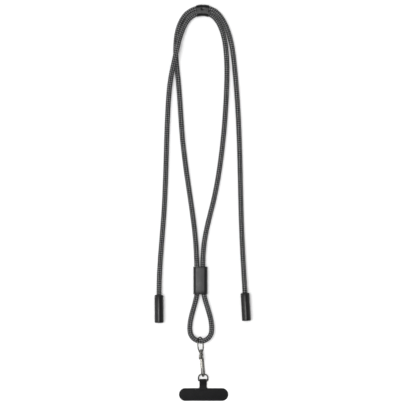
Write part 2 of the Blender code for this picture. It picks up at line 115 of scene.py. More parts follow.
class Side(Enum):
    """The two ends of the cable, by name, route index and heading in degrees."""

    LEFT = ("left", 0, 0.5)
    RIGHT = ("right", -1, 3.2)

    @property
    def label(self) -> str:
        """The side's name, as its nodes have it."""
        return self.value[0]

    def frame(self) -> Matrix:
        """The frame at the plug's mouth, with Z pointing back along the cord."""
        _, end, degrees = self.value
        heading = math.radians(degrees)
        x, y, lift = ROUTE[end]
        back = Vector((-math.sin(heading), math.cos(heading), 0))
        side = Vector((math.cos(heading), math.sin(heading), 0))
        mouth = Vector((x, y, CORD_D / 2 + lift)) + back * (3.4 * MM - CLEAR)
        return facing(mouth, side, back.cross(side))


# Geometry helpers


def facing(place: Sequence[float], x_way: Sequence[float], y_way: Sequence[float]) -> Matrix:
    """Make a frame at a place from its X direction and roughly its Y direction.

    Args:
        place: The frame's origin.
        x_way: The direction of its X axis.
        y_way: A direction in its XY plane.

    Returns:
        The frame as a 4 by 4 matrix.
    """
    x_axis = Vector(x_way).normalized()
    z_axis = x_axis.cross(Vector(y_way)).normalized()
    y_axis = z_axis.cross(x_axis)
    return Matrix.Translation(place) @ Matrix((x_axis, y_axis, z_axis)).transposed().to_4x4()


def clasp_frame(lean: float) -> Matrix:
    """The clasp's frame at the hook's shoulder: X along it, Y leaning left of upright by lean."""
    heading = math.radians(CLASP_HEADING)
    along = Vector((math.sin(heading), -math.cos(heading), 0))
    left = Vector((-math.cos(heading), -math.sin(heading), 0))
    up = Vector((0, 0, math.cos(lean))) + left * math.sin(lean)
    return facing(CLASP_SHOULDER, along, up)


def arc(
    centre: tuple[float, float], radius: float, start: float, end: float, steps: int
) -> list[tuple[float, float]]:
    """Points on a circular arc, with both its ends.

    Args:
        centre: The arc's centre.
        radius: Its radius.
        start: The first angle in degrees.
        end: The last angle in degrees.
        steps: How many steps lie between them.

    Returns:
        The points in order.
    """
    angles = [math.radians(start + (end - start) * i / steps) for i in range(steps + 1)]
    return [(centre[0] + radius * math.cos(a), centre[1] + radius * math.sin(a)) for a in angles]


def natural_spline(points: np.ndarray) -> tuple[Callable[[np.ndarray], np.ndarray], float]:
    """Fit a smooth curve through points.

    Args:
        points: The route, one row a point.

    Returns:
        The curve as a function of its parameter, and the last parameter.
    """
    runs = np.linalg.norm(np.diff(points[:, :2], axis=0), axis=1)
    knots = np.concatenate([[0], np.cumsum(runs)])
    gaps = np.diff(knots)
    count = len(points)
    system = np.eye(count)
    pull = np.zeros_like(points)
    for i in range(1, count - 1):
        before, after = gaps[i - 1], gaps[i]
        system[i, i - 1 : i + 2] = before, 2 * (before + after), after
        pull[i] = 6 * ((points[i + 1] - points[i]) / after - (points[i] - points[i - 1]) / before)
    bends = np.linalg.solve(system, pull)

    def at(where: np.ndarray) -> np.ndarray:
        """The curve's points at these parameters."""
        i = np.clip(np.searchsorted(knots, where, side="right") - 1, 0, count - 2)
        gap = gaps[i][:, None]
        a = (knots[i + 1] - where)[:, None] / gap
        b = (where - knots[i])[:, None] / gap
        bow = ((a**3 - a) * bends[i] + (b**3 - b) * bends[i + 1]) * gap**2 / 6
        return a * points[i] + b * points[i + 1] + bow

    return at, float(knots[-1])


def deselect() -> None:
    """Leave edit mode and select nothing."""
    if bpy.context.mode != "OBJECT":
        bpy.ops.object.mode_set(mode="OBJECT")
    bpy.ops.object.select_all(action="DESELECT")


def pick(obj: Object) -> Object:
    """Make this object the only selected and active one, and return it."""
    deselect()
    obj.select_set(True)
    bpy.context.view_layer.objects.active = obj
    return obj


def named(name: str) -> Object:
    """Name the object that an operator has just added, and return it."""
    obj = bpy.context.view_layer.objects.active
    obj.name = name
    obj.data.name = name
    return obj


def select(obj: Object, kind: str, test: Callable[..., bool]) -> None:
    """Select, in edit mode, the parts of a mesh that pass a test.

    Args:
        obj: The object in hand.
        kind: FACE, EDGE or VERT.
        test: Says whether a part is taken, of a face's centre and normal, of an edge's two
            ends or of a point's place.
    """
    bpy.ops.object.mode_set(mode="OBJECT")
    mesh = obj.data
    places = [v.co for v in mesh.vertices]
    groups = {"FACE": mesh.polygons, "EDGE": mesh.edges, "VERT": mesh.vertices}
    facts = {
        "FACE": lambda face: (face.center, face.normal),
        "EDGE": lambda edge: [places[i] for i in edge.vertices],
        "VERT": lambda point: (point.co,),
    }[kind]
    for name, group in groups.items():
        group.foreach_set("select", [name == kind and test(*facts(part)) for part in group])
    bpy.ops.object.mode_set(mode="EDIT")
    bpy.ops.mesh.select_mode(type=kind)


def modify(obj: Object, kind: str, **settings: Any) -> None:
    """Add a modifier with these settings and apply it.

    Args:
        obj: The object that it shapes.
        kind: The modifier's type name, such as BEVEL.
        settings: Its properties.
    """
    pick(obj)
    made = obj.modifiers.new(kind.lower(), kind)
    for name, value in settings.items():
        setattr(made, name, value)
    bpy.ops.object.modifier_apply(modifier=made.name)


def settle(obj: Object, place: Matrix | None = None) -> Object:
    """Put an object in its place in the row frame and leave the place in its mesh.

    Args:
        obj: The object, modelled about its own frame.
        place: That frame in the row frame.

    Returns:
        The same object, at the origin, unturned and unscaled.
    """
    if place is not None:
        obj.matrix_world = place @ obj.matrix_world
    pick(obj)
    bpy.ops.object.transform_apply(location=True, rotation=True, scale=True)
    return obj


def smooth(obj: Object, degrees: float = 35) -> None:
    """Shade an object smooth, with its edges sharp past an angle in degrees."""
    pick(obj)
    bpy.ops.object.shade_smooth_by_angle(angle=math.radians(degrees))


def edit_all(obj: Object) -> None:
    """Enter edit mode on this object alone, with all of its mesh selected."""
    pick(obj)
    bpy.ops.object.mode_set(mode="EDIT")
    bpy.ops.mesh.select_all(action="SELECT")


def mend(obj: Object) -> None:
    """Merge an object's doubled points and turn its faces outwards."""
    edit_all(obj)
    bpy.ops.mesh.remove_doubles(threshold=1e-6)
    bpy.ops.mesh.normals_make_consistent(inside=False)
    bpy.ops.object.mode_set(mode="OBJECT")


def round_edges(obj: Object, width: float) -> None:
    """Round an object's sharp edges."""
    limit = math.radians(60)
    modify(obj, "BEVEL", width=width, segments=3, limit_method="ANGLE", angle_limit=limit)


def extrude(x: float, y: float, z: float) -> None:
    """Extrude what is selected in edit mode."""
    bpy.ops.mesh.extrude_region_move(TRANSFORM_OT_translate={"value": (x, y, z)})


def cylinder(name: str, radius: float, length: float) -> Object:
    """Add a cylinder that hangs down the Z axis from the origin."""
    deselect()
    bpy.ops.mesh.primitive_cylinder_add(
        vertices=96, radius=radius, depth=length, location=(0, 0, -length / 2)
    )
    return settle(named(name))


def groove(obj: Object, low: float, width: float, depth: float) -> None:
    """Cut a groove round a turned piece, and stay in edit mode.

    Args:
        obj: The piece, with Z as its axis.
        low: Where the groove starts.
        width: How wide it is along Z.
        depth: How deep it is.
    """
    for height in (low, low + width):
        edit_all(obj)
        bpy.ops.mesh.bisect(plane_co=(0, 0, height), plane_no=(0, 0, 1))
    select(obj, "FACE", lambda c, n: low < c.z < low + width)
    bpy.ops.mesh.extrude_region_shrink_fatten(TRANSFORM_OT_shrink_fatten={"value": -depth})


def joined(name: str, pieces: Iterable[Object]) -> Object:
    """Join some objects to one, and return it under this name."""
    pieces = list(pieces)
    deselect()
    for piece in pieces:
        piece.select_set(True)
    bpy.context.view_layer.objects.active = pieces[0]
    bpy.ops.object.join()
    return named(name)


def mesh_object(name: str, points: Sequence, faces: Sequence) -> Object:
    """Make an object from points and faces.

    Args:
        name: The object's name.
        points: Its points in the row frame.
        faces: Its faces as point numbers.

    Returns:
        The new object.
    """
    mesh = bpy.data.meshes.new(name)
    mesh.from_pydata([tuple(p) for p in points], [], [tuple(f) for f in faces])
    obj = bpy.data.objects.new(name, mesh)
    bpy.context.scene.collection.objects.link(obj)
    return obj


def wire(
    name: str,
    points: Sequence[Sequence[float]],
    radius: float,
    place: Matrix,
    closed: bool = False,
    radii: Sequence[float] | None = None,
    sides: int = 6,
) -> Object:
    """Draw a round wire along points and make it a mesh.

    Args:
        name: The object's name.
        points: The wire's centre line in the piece's own frame.
        radius: The wire's radius.
        place: The piece's frame.
        closed: Whether the wire closes on itself.
        radii: Its radius at each point, where it differs.
        sides: The curve's bevel resolution.

    Returns:
        The wire's mesh object, in the row frame.
    """
    curve = bpy.data.curves.new(name, "CURVE")
    curve.dimensions = "3D"
    spline = curve.splines.new("POLY")
    spline.points.add(len(points) - 1)
    for i, (point, spot) in enumerate(zip(spline.points, points)):
        x, y, z = (*spot, 0.0)[:3]
        point.co = (x, y, z, 1.0)
        point.radius = radii[i] / radius if radii else 1.0
    spline.use_cyclic_u = closed
    curve.bevel_depth = radius
    curve.bevel_resolution = sides
    curve.use_fill_caps = not closed
    holder = bpy.data.objects.new(name, curve)
    bpy.context.scene.collection.objects.link(holder)
    pick(holder)
    bpy.ops.object.convert(target="MESH")
    obj = named(name)
    settle(obj, place)
    mend(obj)
    return obj


def boolean(obj: Object, tool: Object, operation: str) -> None:
    """Join a tool to a piece or cut it out of it, and remove the tool."""
    modify(obj, "BOOLEAN", object=tool, operation=operation, solver="EXACT")
    bpy.data.objects.remove(tool)


def plate(
    name: str, outline: Sequence[tuple[float, float]], thickness: float, edge: float
) -> Object:
    """Cut a flat plate about its own XY plane, with rounded edges.

    Args:
        name: The object's name.
        outline: The plate's corners in order.
        thickness: How thick it is.
        edge: The round of its edges.

    Returns:
        The plate.
    """
    low = [(x, y, -thickness / 2) for x, y in outline]
    obj = mesh_object(name, low, [range(len(low))])
    edit_all(obj)
    extrude(0, 0, thickness)
    bpy.ops.object.mode_set(mode="OBJECT")
    mend(obj)
    round_edges(obj, edge)
    return obj


def link(
    start: Sequence[float], end: Sequence[float], first: float, last: float
) -> list[tuple[float, float]]:
    """Outline a bar with round ends between two points.

    Args:
        start: The middle of its first end.
        end: The middle of its last end.
        first: The radius of its first end.
        last: The radius of its last end.

    Returns:
        The outline's points in order.
    """
    run = math.hypot(end[0] - start[0], end[1] - start[1])
    heading = math.degrees(math.atan2(end[1] - start[1], end[0] - start[0]))
    spread = math.degrees(math.acos((first - last) / run))
    points = arc((end[0], end[1]), last, heading - spread, heading + spread, 14)
    return points + arc((start[0], start[1]), first, heading + spread, heading + 360 - spread, 14)


# Finishes


def linear(hex_colour: str) -> tuple[float, float, float, float]:
    """Turn an sRGB hex colour into linear RGBA."""
    shares = [int(hex_colour[i : i + 2], 16) / 255 for i in (1, 3, 5)]
    red, green, blue = (s / 12.92 if s <= 0.04045 else ((s + 0.055) / 1.055) ** 2.4 for s in shares)
    return red, green, blue, 1.0


def fill(node: Node, inputs: dict[str | int, Any]) -> None:
    """Give a node's inputs their values, or link them to the output sockets that feed them."""
    for key, value in inputs.items():
        if isinstance(value, NodeSocket):
            node.id_data.links.new(value, node.inputs[key])
        else:
            node.inputs[key].default_value = value


def add_node(
    tree: NodeTree,
    kind: str,
    inputs: dict[str | int, Any] | None = None,
    output: str | int = 0,
    **settings: Any,
) -> NodeSocket:
    """Add a node with its settings, and fill or link its inputs.

    Args:
        tree: The material's node tree.
        kind: The node's type name without its ShaderNode prefix.
        inputs: Each input's value, or the output socket that feeds it.
        output: The name or number of the output that is wanted.
        settings: The node's own properties, such as operation.

    Returns:
        The output socket.
    """
    made = tree.nodes.new(f"ShaderNode{kind}")
    for name, value in settings.items():
        setattr(made, name, value)
    fill(made, inputs or {})
    return made.outputs[output]


def blank(name: str) -> tuple[Material, Callable[..., NodeSocket], Node]:
    """Start a node material, and return it, what adds its nodes and its surface shader."""
    made = bpy.data.materials.new(name)
    made.use_nodes = True
    tree = made.node_tree
    return made, partial(add_node, tree), tree.nodes["Principled BSDF"]


def tinted(add: Callable[..., NodeSocket], colour: str, share: NodeSocket) -> NodeSocket:
    """Scale a hex colour by a share, and return the socket with the result."""
    return add("VectorMath", {0: linear(colour)[:3], "Scale": share}, operation="SCALE")


@dataclass(frozen=True)
class BraidedPolyester:
    """Tubular braid of polyester yarn over a charging cable, a pale set across a dark one.

    Sixteen carriers cross one over and one under. The eight that wind one way are grey
    and the eight that wind the other way nearly black, so the braid is a chequer of diamonds
    that turns to speckled grey from a little way off. Polyester is matt with a faint sheen.
    """

    pale: str = "#8A8A8B"
    dark: str = "#151516"
    # The darkest share of the painted shade at each diamond's edges
    crevice_shade: float = 0.22
    roughness: float = 0.80
    ends: float = 4.0
    carriers_each_way: float = 8.0
    mottle_mm: float = 7.0

    def build(self) -> Material:
        """Make the material from the cord's own braid coordinates."""
        made, add, shader = blank("braided_polyester")
        uv = add("UVMap", uv_map="braid")
        axes = [add("SeparateXYZ", {0: uv}, axis) for axis in (0, 1)]
        shares = [add("Math", {0: axis}, operation="FRACT") for axis in axes]
        floors = [add("Math", {0: axis}, operation="FLOOR") for axis in axes]
        crossing = add("Math", {0: floors[0], 1: floors[1]}, operation="ADD")
        turn = add("Math", {0: crossing, 1: 2.0}, operation="FLOORED_MODULO")
        over = add("Math", {0: turn, 1: 0.5}, operation="LESS_THAN")
        across = add("Mix", {0: over, 2: shares[0], 3: shares[1]}, data_type="FLOAT")
        strand = add("Mix", {0: over, 2: floors[0], 3: floors[1]}, data_type="FLOAT")
        yarn = add(
            "Mix", {0: over, 6: linear(self.dark), 7: linear(self.pale)}, 2, data_type="RGBA"
        )

        # Each carrier's yarn is dyed a little lighter or darker than its neighbour's
        lap = add("Math", {0: strand, 1: self.carriers_each_way}, operation="FLOORED_MODULO")
        steps = {0: over, 1: self.carriers_each_way + 1, 2: lap}
        lap = add("Math", steps, operation="MULTIPLY_ADD")
        own = add("TexWhiteNoise", {"W": lap}, "Value", noise_dimensions="1D")
        own = add("MapRange", {0: own, 3: 0.86, 4: 1.14})
        place = add("TexCoord", output="Object")
        scale = 1 / (self.mottle_mm * MM)
        mottle = add("TexNoise", {"Vector": place, "Scale": scale, "Detail": 2.0})
        mottle = add("MapRange", {0: mottle, 1: 0.3, 2: 0.7, 3: 0.9, 4: 1.1})

        # Painted shade: each diamond darkens towards its four edges, where little light reaches
        waves = [add("Math", {0: share, 1: math.pi}, operation="MULTIPLY") for share in shares]
        waves = [add("Math", {0: wave}, operation="SINE") for wave in waves]
        crown = add("Math", {0: waves[0], 1: waves[1]}, operation="MULTIPLY")
        light = add("MapRange", {0: crown, 1: 0.0, 2: 0.45, 3: self.crevice_shade, 4: 1.0})

        # Yarn ends lie side by side in each carrier, about twice as coarse as real so they show,
        # with painted shade in the grooves between them
        ends = add("Math", {0: across, 1: 2 * self.ends * math.pi}, operation="MULTIPLY")
        ends = add("Math", {0: ends}, operation="COSINE")
        ends = add("Math", {0: ends, 1: -1.0}, operation="MULTIPLY")
        # seam is painted shade: a dark line in the groove between neighbouring yarn ends
        seam = add("MapRange", {0: ends, 1: -1.0, 2: 0.2, 3: 0.45, 4: 1.0})
        # The painted shade of diamonds and grooves is multiplied by each carrier's dyed tone and
        # the random mottle
        for part in (seam, own, mottle):
            light = add("Math", {0: light, 1: part}, operation="MULTIPLY")
        height = add("Math", {0: ends, 1: 0.22, 2: crown}, operation="MULTIPLY_ADD")
        fill(
            shader,
            {
                "Base Color": add("VectorMath", {0: yarn, "Scale": light}, operation="SCALE"),
                "Normal": add("Bump", {"Height": height, "Strength": 0.9, "Distance": 0.32 * MM}),
                "Roughness": self.roughness,
                "IOR": 1.54,
                "Specular IOR Level": 0.25,
                "Sheen Weight": 0.03,
                "Sheen Roughness": 0.5,
            },
        )
        return made


@dataclass(frozen=True)
class SatinBlackMetal:
    """Drawn aluminium tube, bead blasted and anodised black: caps, slider and neck clip.

    Blasting leaves a fine grain that spreads highlights into soft bands, and the thin
    oxide wears a little paler where fingers rub.
    """

    colour: str = "#0C0C0D"
    rubbed: str = "#151516"
    roughness: float = 0.31
    grain_mm: float = 0.18
    patch_mm: float = 9.0

    def build(self) -> Material:
        """Make the material on object coordinates."""
        made, add, shader = blank("black_anodised_aluminium")
        place = add("TexCoord", output="Object")
        scale = 1 / (self.patch_mm * MM)
        patches = add("TexNoise", {"Vector": place, "Scale": scale, "Detail": 4.0})
        worn = add("MapRange", {0: patches, 1: 0.42, 2: 0.72})
        tints = {0: worn, 6: linear(self.colour), 7: linear(self.rubbed)}
        scale = 1 / (self.grain_mm * MM)
        grain = add("TexNoise", {"Vector": place, "Scale": scale, "Detail": 3.0})
        gloss = {0: patches, 1: 0.3, 2: 0.7, 3: self.roughness - 0.04, 4: self.roughness + 0.05}
        fill(
            shader,
            {
                "Base Color": add("Mix", tints, 2, data_type="RGBA"),
                "Roughness": add("MapRange", gloss),
                "Normal": add("Bump", {"Height": grain, "Strength": 0.25, "Distance": 0.02 * MM}),
                "Specular IOR Level": 0.36,
            },
        )
        return made


@dataclass(frozen=True)
class MouldedElastomer:
    """Black thermoplastic elastomer moulded over the plug, with a fine spark-eroded grain."""

    colour: str = "#1A1A1B"
    roughness: float = 0.55
    grain_mm: float = 0.22

    def build(self) -> Material:
        """Make the material on object coordinates."""
        made, add, shader = blank("moulded_black_elastomer")
        place = add("TexCoord", output="Object")
        scale = 1 / (self.grain_mm * MM)
        grain = add("TexVoronoi", {"Vector": place, "Scale": scale}, "Distance")
        tint = add("MapRange", {0: grain, 3: 0.85, 4: 1.15})
        fill(
            shader,
            {
                "Base Color": tinted(add, self.colour, tint),
                "Normal": add("Bump", {"Height": grain, "Strength": 0.3, "Distance": 0.03 * MM}),
                "Roughness": self.roughness,
                "IOR": 1.5,
                "Specular IOR Level": 0.3,
            },
        )
        return made


@dataclass(frozen=True)
class PlatedMetal:
    """Plated metal: black nickel over cast zinc or steel wire, a paler copy of it on the gate as
    painted highlight, or bare steel.

    Tumbling leaves faint hair scratches and a slightly uneven gloss.
    """

    name: str = "black_nickel_plate"
    colour: str = "#62615D"
    roughness: float = 0.16
    scratch_mm: float = 0.35
    patch_mm: float = 4.0

    def build(self) -> Material:
        """Make the material on object coordinates."""
        made, add, shader = blank(self.name)
        place = add("TexCoord", output="Object")
        scale = 1 / (self.patch_mm * MM)
        patches = add("TexNoise", {"Vector": place, "Scale": scale, "Detail": 3.0})
        tint = add("MapRange", {0: patches, 1: 0.3, 2: 0.7, 3: 0.88, 4: 1.06})
        drawn = add("Mapping", {"Vector": place, "Scale": (1.0, 0.12, 1.0)})
        scale = 1 / (self.scratch_mm * MM)
        hairs = add("TexNoise", {"Vector": drawn, "Scale": scale, "Detail": 5.0})
        gloss = {0: hairs, 1: 0.35, 2: 0.7, 3: self.roughness - 0.05, 4: self.roughness + 0.09}
        fill(
            shader,
            {
                "Base Color": tinted(add, self.colour, tint),
                "Roughness": add("MapRange", gloss),
                "Normal": add("Bump", {"Height": hairs, "Strength": 0.10, "Distance": 0.02 * MM}),
                "Metallic": 1.0,
            },
        )
        return made


@dataclass(frozen=True)
class CoatedNylon:
    """Black nylon cloth with a rubbery coat, cut to shape for the tether patch.

    A tight plain weave shows through the coat as a faint grid of relief, with painted shade in its
    dips and painted light on its crowns, and the surface is matt.
    """

    colour: str = "#171718"
    thread_mm: float = 0.55
    cloud_mm: float = 6.0
    roughness: float = 0.62

    def build(self) -> Material:
        """Make the material on object coordinates, its weave along X and Y."""
        made, add, shader = blank("coated_nylon_cloth")
        place = add("TexCoord", output="Object")
        rate = math.pi / (self.thread_mm * MM)
        axes = [add("SeparateXYZ", {0: place}, axis) for axis in (0, 1)]
        waves = [add("Math", {0: axis, 1: rate}, operation="MULTIPLY") for axis in axes]
        waves = [add("Math", {0: wave}, operation="SINE") for wave in waves]
        weave = add("Math", {0: waves[0], 1: waves[1]}, operation="MULTIPLY")
        scale = 1 / (self.cloud_mm * MM)
        cloud = add("TexNoise", {"Vector": place, "Scale": scale, "Detail": 4.0})
        tint = add("MapRange", {0: cloud, 1: 0.3, 2: 0.7, 3: 0.88, 4: 1.12})
        # grid is painted shade in the weave's dips and painted light on its crowns, following the
        # bump
        grid = add("MapRange", {0: weave, 1: -1.0, 2: 1.0, 3: 0.86, 4: 1.1})
        tint = add("Math", {0: tint, 1: grid}, operation="MULTIPLY")
        fill(
            shader,
            {
                "Base Color": tinted(add, self.colour, tint),
                "Normal": add("Bump", {"Height": weave, "Strength": 0.35, "Distance": 0.04 * MM}),
                "Roughness": self.roughness,
                "IOR": 1.5,
                "Specular IOR Level": 0.12,
            },
        )
        return made


@dataclass(frozen=True)
class SewingThread:
    """Bonded polyester sewing thread, twisted of three plies, a shade paler than the cloth."""

    colour: str = "#2E2E30"
    ply_mm: float = 0.5

    def build(self) -> Material:
        """Make the material with its twist as slanting bands on object coordinates, painted shade
        between the plies and painted light on their crowns.
        """
        made, add, shader = blank("bonded_polyester_thread")
        place = add("TexCoord", output="Object")
        x, y = (add("SeparateXYZ", {0: place}, axis) for axis in (0, 1))
        slant = add("Math", {0: x, 1: y}, operation="ADD")
        rate = 2 * math.pi / (self.ply_mm * MM)
        slant = add("Math", {0: slant, 1: rate}, operation="MULTIPLY")
        ply = add("Math", {0: slant}, operation="SINE")
        # Painted shade between the plies and painted light on their crowns, following the bump
        tint = add("MapRange", {0: ply, 1: -1.0, 2: 1.0, 3: 0.75, 4: 1.15})
        fill(
            shader,
            {
                "Base Color": tinted(add, self.colour, tint),
                "Normal": add("Bump", {"Height": ply, "Strength": 0.5, "Distance": 0.04 * MM}),
                "Roughness": 0.6,
                "Specular IOR Level": 0.2,
            },
        )
        return made


@dataclass(frozen=True)
class TableTop:
    """Matt white laminate of the table that it lies on."""

    colour: str = "#FAFAFA"

    def build(self) -> Material:
        """Make the material, with a faint change of tone over the table."""
        made, add, shader = blank("matt_white_laminate")
        cloud = add("TexNoise", {"Vector": add("TexCoord", output="Object"), "Scale": 3.0})
        tint = add("MapRange", {0: cloud, 3: 0.99, 4: 1.01})
        fill(shader, {"Base Color": tinted(add, self.colour, tint), "Roughness": 0.75})
        return made


@dataclass
class Wardrobe:
    """The finished materials, made once and shared by the pieces."""

    braid: Material
    satin: Material
    elastomer: Material
    plated: Material
    # The gate's plating, made paler as painted highlight
    bright: Material
    steel: Material
    cloth: Material
    thread: Material

    @classmethod
    def made(cls) -> Wardrobe:
        """Build every finish."""
        return cls(
            braid=BraidedPolyester().build(),
            satin=SatinBlackMetal().build(),
            elastomer=MouldedElastomer().build(),
            plated=PlatedMetal().build(),
            # A paler copy of the plating for the gate: painted highlight on its face
            bright=PlatedMetal("nickel_plate_painted_highlight", "#A19F98", 0.24).build(),
            steel=PlatedMetal("stainless_steel_shell", "#8F8F90", 0.28, 0.30, 3.0).build(),
            cloth=CoatedNylon().build(),
            thread=SewingThread().build(),
        )


def dress(
    obj: Object, finish: Material, body: str, node: str = ""
) -> Object:
    """Give a piece its finish, its body and the node that it stands for.

    Args:
        obj: The piece.
        finish: Its material.
        body: The CAD body that it rides on.
        node: The CAD node that it replaces, where it replaces one.

    Returns:
        The same piece.
    """
    obj.data.materials.clear()
    obj.data.materials.append(finish)
    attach(obj, body)
    if node:
        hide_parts(node)
    return obj


# Pieces


@dataclass
class BraidedCord:
    """The braided cable, one tube along the whole route with its strands in relief."""

    diameter: float = CORD_D
    carriers: int = 16
    pitch: float = 21.4 * MM
    relief: float = 0.24 * MM
    proud: float = 0.10 * MM
    around: int = 32

    def centre_line(self) -> np.ndarray:
        """Points of the route, one for each ring of the tube, evenly spaced."""
        at, last = natural_spline(np.array(ROUTE))
        fine = at(np.linspace(0, last, 20000))
        fine[:, 2] = self.diameter / 2 + np.maximum(fine[:, 2], 0)
        runs = np.concatenate([[0], np.cumsum(np.linalg.norm(np.diff(fine, axis=0), axis=1))])
        rings = int(round(runs[-1] / (self.pitch / self.around)))
        stations = np.linspace(0, runs[-1], rings + 1)
        return np.stack([np.interp(stations, runs, fine[:, k]) for k in range(3)], axis=1)

    def frames(self, line: np.ndarray) -> tuple[np.ndarray, np.ndarray]:
        """Carry one pair of cross directions along the line without twist.

        Args:
            line: The centre line.

        Returns:
            The two directions at each of its points.
        """
        ways = np.gradient(line, axis=0)
        ways /= np.linalg.norm(ways, axis=1)[:, None]
        firsts = np.empty_like(line)
        side = np.cross(ways[0], (0.0, 0.0, 1.0))
        for i, way in enumerate(ways):
            side = side - way * side.dot(way)
            side = side / np.linalg.norm(side)
            firsts[i] = side
        return firsts, np.cross(firsts, ways)

    def lift(self, a: np.ndarray, b: np.ndarray) -> np.ndarray:
        """How high the upper strand stands at braid coordinates, from 0 to 1.

        Args:
            a: Position across the second set of strands.
            b: Position across the first set of strands.

        Returns:
            The share of the relief.
        """
        first = np.mod(np.floor(a) + np.floor(b), 2) < 0.5
        part_a, part_b = a - np.floor(a), b - np.floor(b)
        across = np.where(first, part_b, part_a)
        along = np.where(first, part_a, part_b)
        return (1 - (2 * across - 1) ** 2) * (1 - (2 * along - 1) ** 4)

    def build(self) -> Object:
        """Sweep the braid along the route, with its braid coordinates as UVs."""
        line = self.centre_line()
        firsts, seconds = self.frames(line)
        rings, sides = len(line), self.around
        m, n = np.meshgrid(np.arange(sides), np.arange(rings))
        angle = 2 * math.pi * m / sides
        strand = 2 * sides / self.carriers
        raised = self.lift((m + n) / strand, (m - n) / strand)
        radius = self.diameter / 2 + self.proud - self.relief * (1 - raised)
        turn_a, turn_b = np.cos(angle)[..., None], np.sin(angle)[..., None]
        spokes = turn_a * firsts[:, None] + turn_b * seconds[:, None]
        points = (line[:, None] + radius[..., None] * spokes).reshape(-1, 3)
        points[:, 2] = np.maximum(points[:, 2], 0)
        m, n = (x.ravel() for x in np.meshgrid(np.arange(sides), np.arange(rings - 1)))
        here, after, row = n * sides + m, n * sides + (m + 1) % sides, sides
        quads = np.stack([here, after, after + row, here + row], 1)
        mesh = bpy.data.meshes.new("braided_cord")
        ends = [list(range(sides))[::-1], [(rings - 1) * sides + i for i in range(sides)]]
        mesh.from_pydata(points.tolist(), [], quads.tolist() + ends)
        corner_m = np.stack([m, m + 1, m + 1, m], 1).ravel()
        corner_n = np.stack([n, n, n + 1, n + 1], 1).ravel()
        places = np.zeros((len(mesh.loops), 2), np.float32)
        places[: len(corner_m), 0] = (corner_m + corner_n) / strand
        places[: len(corner_m), 1] = (corner_m - corner_n) / strand
        mesh.uv_layers.new(name="braid").data.foreach_set("uv", places.ravel())
        obj = bpy.data.objects.new("braided_cord", mesh)
        bpy.context.scene.collection.objects.link(obj)
        mesh.shade_smooth()
        self.line = line
        self.length = float(np.linalg.norm(np.diff(line, axis=0), axis=1).sum())
        return obj

    def declare(
        self, obj: Object, wardrobe: Wardrobe
    ) -> None:
        """Args:
            obj: The cord.
            wardrobe: The finished materials.
        """
        dress(obj, wardrobe.braid, "lanyard", "cord")
        tuple(Side.LEFT.frame().translation)


@dataclass
class OvalSleeve:
    """An oval tube round two strands side by side, drawn from an outline along Z."""

    name: str
    width: float
    height: float
    length: float
    wall: float
    steps: int = 1
    arch: float = 0.0
    flare: float = 0.0
    crown: float = 0.0

    def outline(self) -> Object:
        """Draw the tube's outer outline at its first end, its flat sides crowned a little."""
        deselect()
        radius = self.height / 2 - self.crown
        bpy.ops.mesh.primitive_circle_add(
            vertices=64, radius=radius, location=(0, 0, -self.length / 2)
        )
        obj = settle(named(self.name))
        reach = self.width / 2 - radius
        for way in (1, -1):
            select(obj, "VERT", lambda p: p.x * way > 1e-6)
            bpy.ops.transform.translate(value=(way * reach, 0, 0))
        select(obj, "EDGE", lambda p, q: (p - q).length > reach / 2)
        bpy.ops.mesh.subdivide(number_cuts=9)
        bpy.ops.object.mode_set(mode="OBJECT")
        for vert in obj.data.vertices:
            share = max(1 - (vert.co.x / reach) ** 2, 0)
            vert.co.y += math.copysign(self.crown * share, vert.co.y)
        bpy.ops.object.mode_set(mode="EDIT")
        return obj

    def bow(self, along: float) -> float:
        """How far the arch has dropped at this distance from the middle."""
        return math.sqrt(self.arch**2 - along**2) - self.arch if self.arch else 0.0

    def build(self) -> Object:
        """Extrude the outline along its length, arching it on the way, and leave it a thin skin."""
        obj = self.outline()
        stations = [self.length * (i / self.steps - 0.5) for i in range(self.steps + 1)]
        bpy.ops.mesh.select_all(action="SELECT")
        bpy.ops.transform.translate(value=(self.bow(stations[0]), 0, 0))
        for before, here in zip(stations, stations[1:]):
            extrude(self.bow(here) - self.bow(before), 0, here - before)
        bpy.ops.object.mode_set(mode="OBJECT")
        if self.flare:
            for vert in obj.data.vertices:
                out = (vert.co.x - self.bow(vert.co.z)) / (self.width / 2)
                vert.co.z *= 1 + self.flare * out
        mend(obj)
        return obj

    def dent(self, obj: Object, place: Vector, push: Vector, reach: float) -> None:
        """Press a soft dent into the skin.

        Args:
            obj: The sleeve.
            place: The dent's middle.
            push: How far its middle goes, and which way.
            reach: The dent's radius.
        """
        near = min((v.co - place).length for v in obj.data.vertices) + 0.2 * MM
        select(obj, "VERT", lambda p: (p - place).length < near)
        bpy.ops.transform.translate(
            value=push,
            use_proportional_edit=True,
            proportional_edit_falloff="SMOOTH",
            proportional_size=reach,
        )
        bpy.ops.object.mode_set(mode="OBJECT")

    def thicken(self, obj: Object, place: Matrix) -> None:
        """Give the skin its wall and rounded rims, and put it in its place."""
        modify(obj, "SOLIDIFY", thickness=self.wall, offset=-1.0, use_even_offset=True)
        round_edges(obj, self.wall * 0.42)
        settle(obj, place)
        smooth(obj, 50)


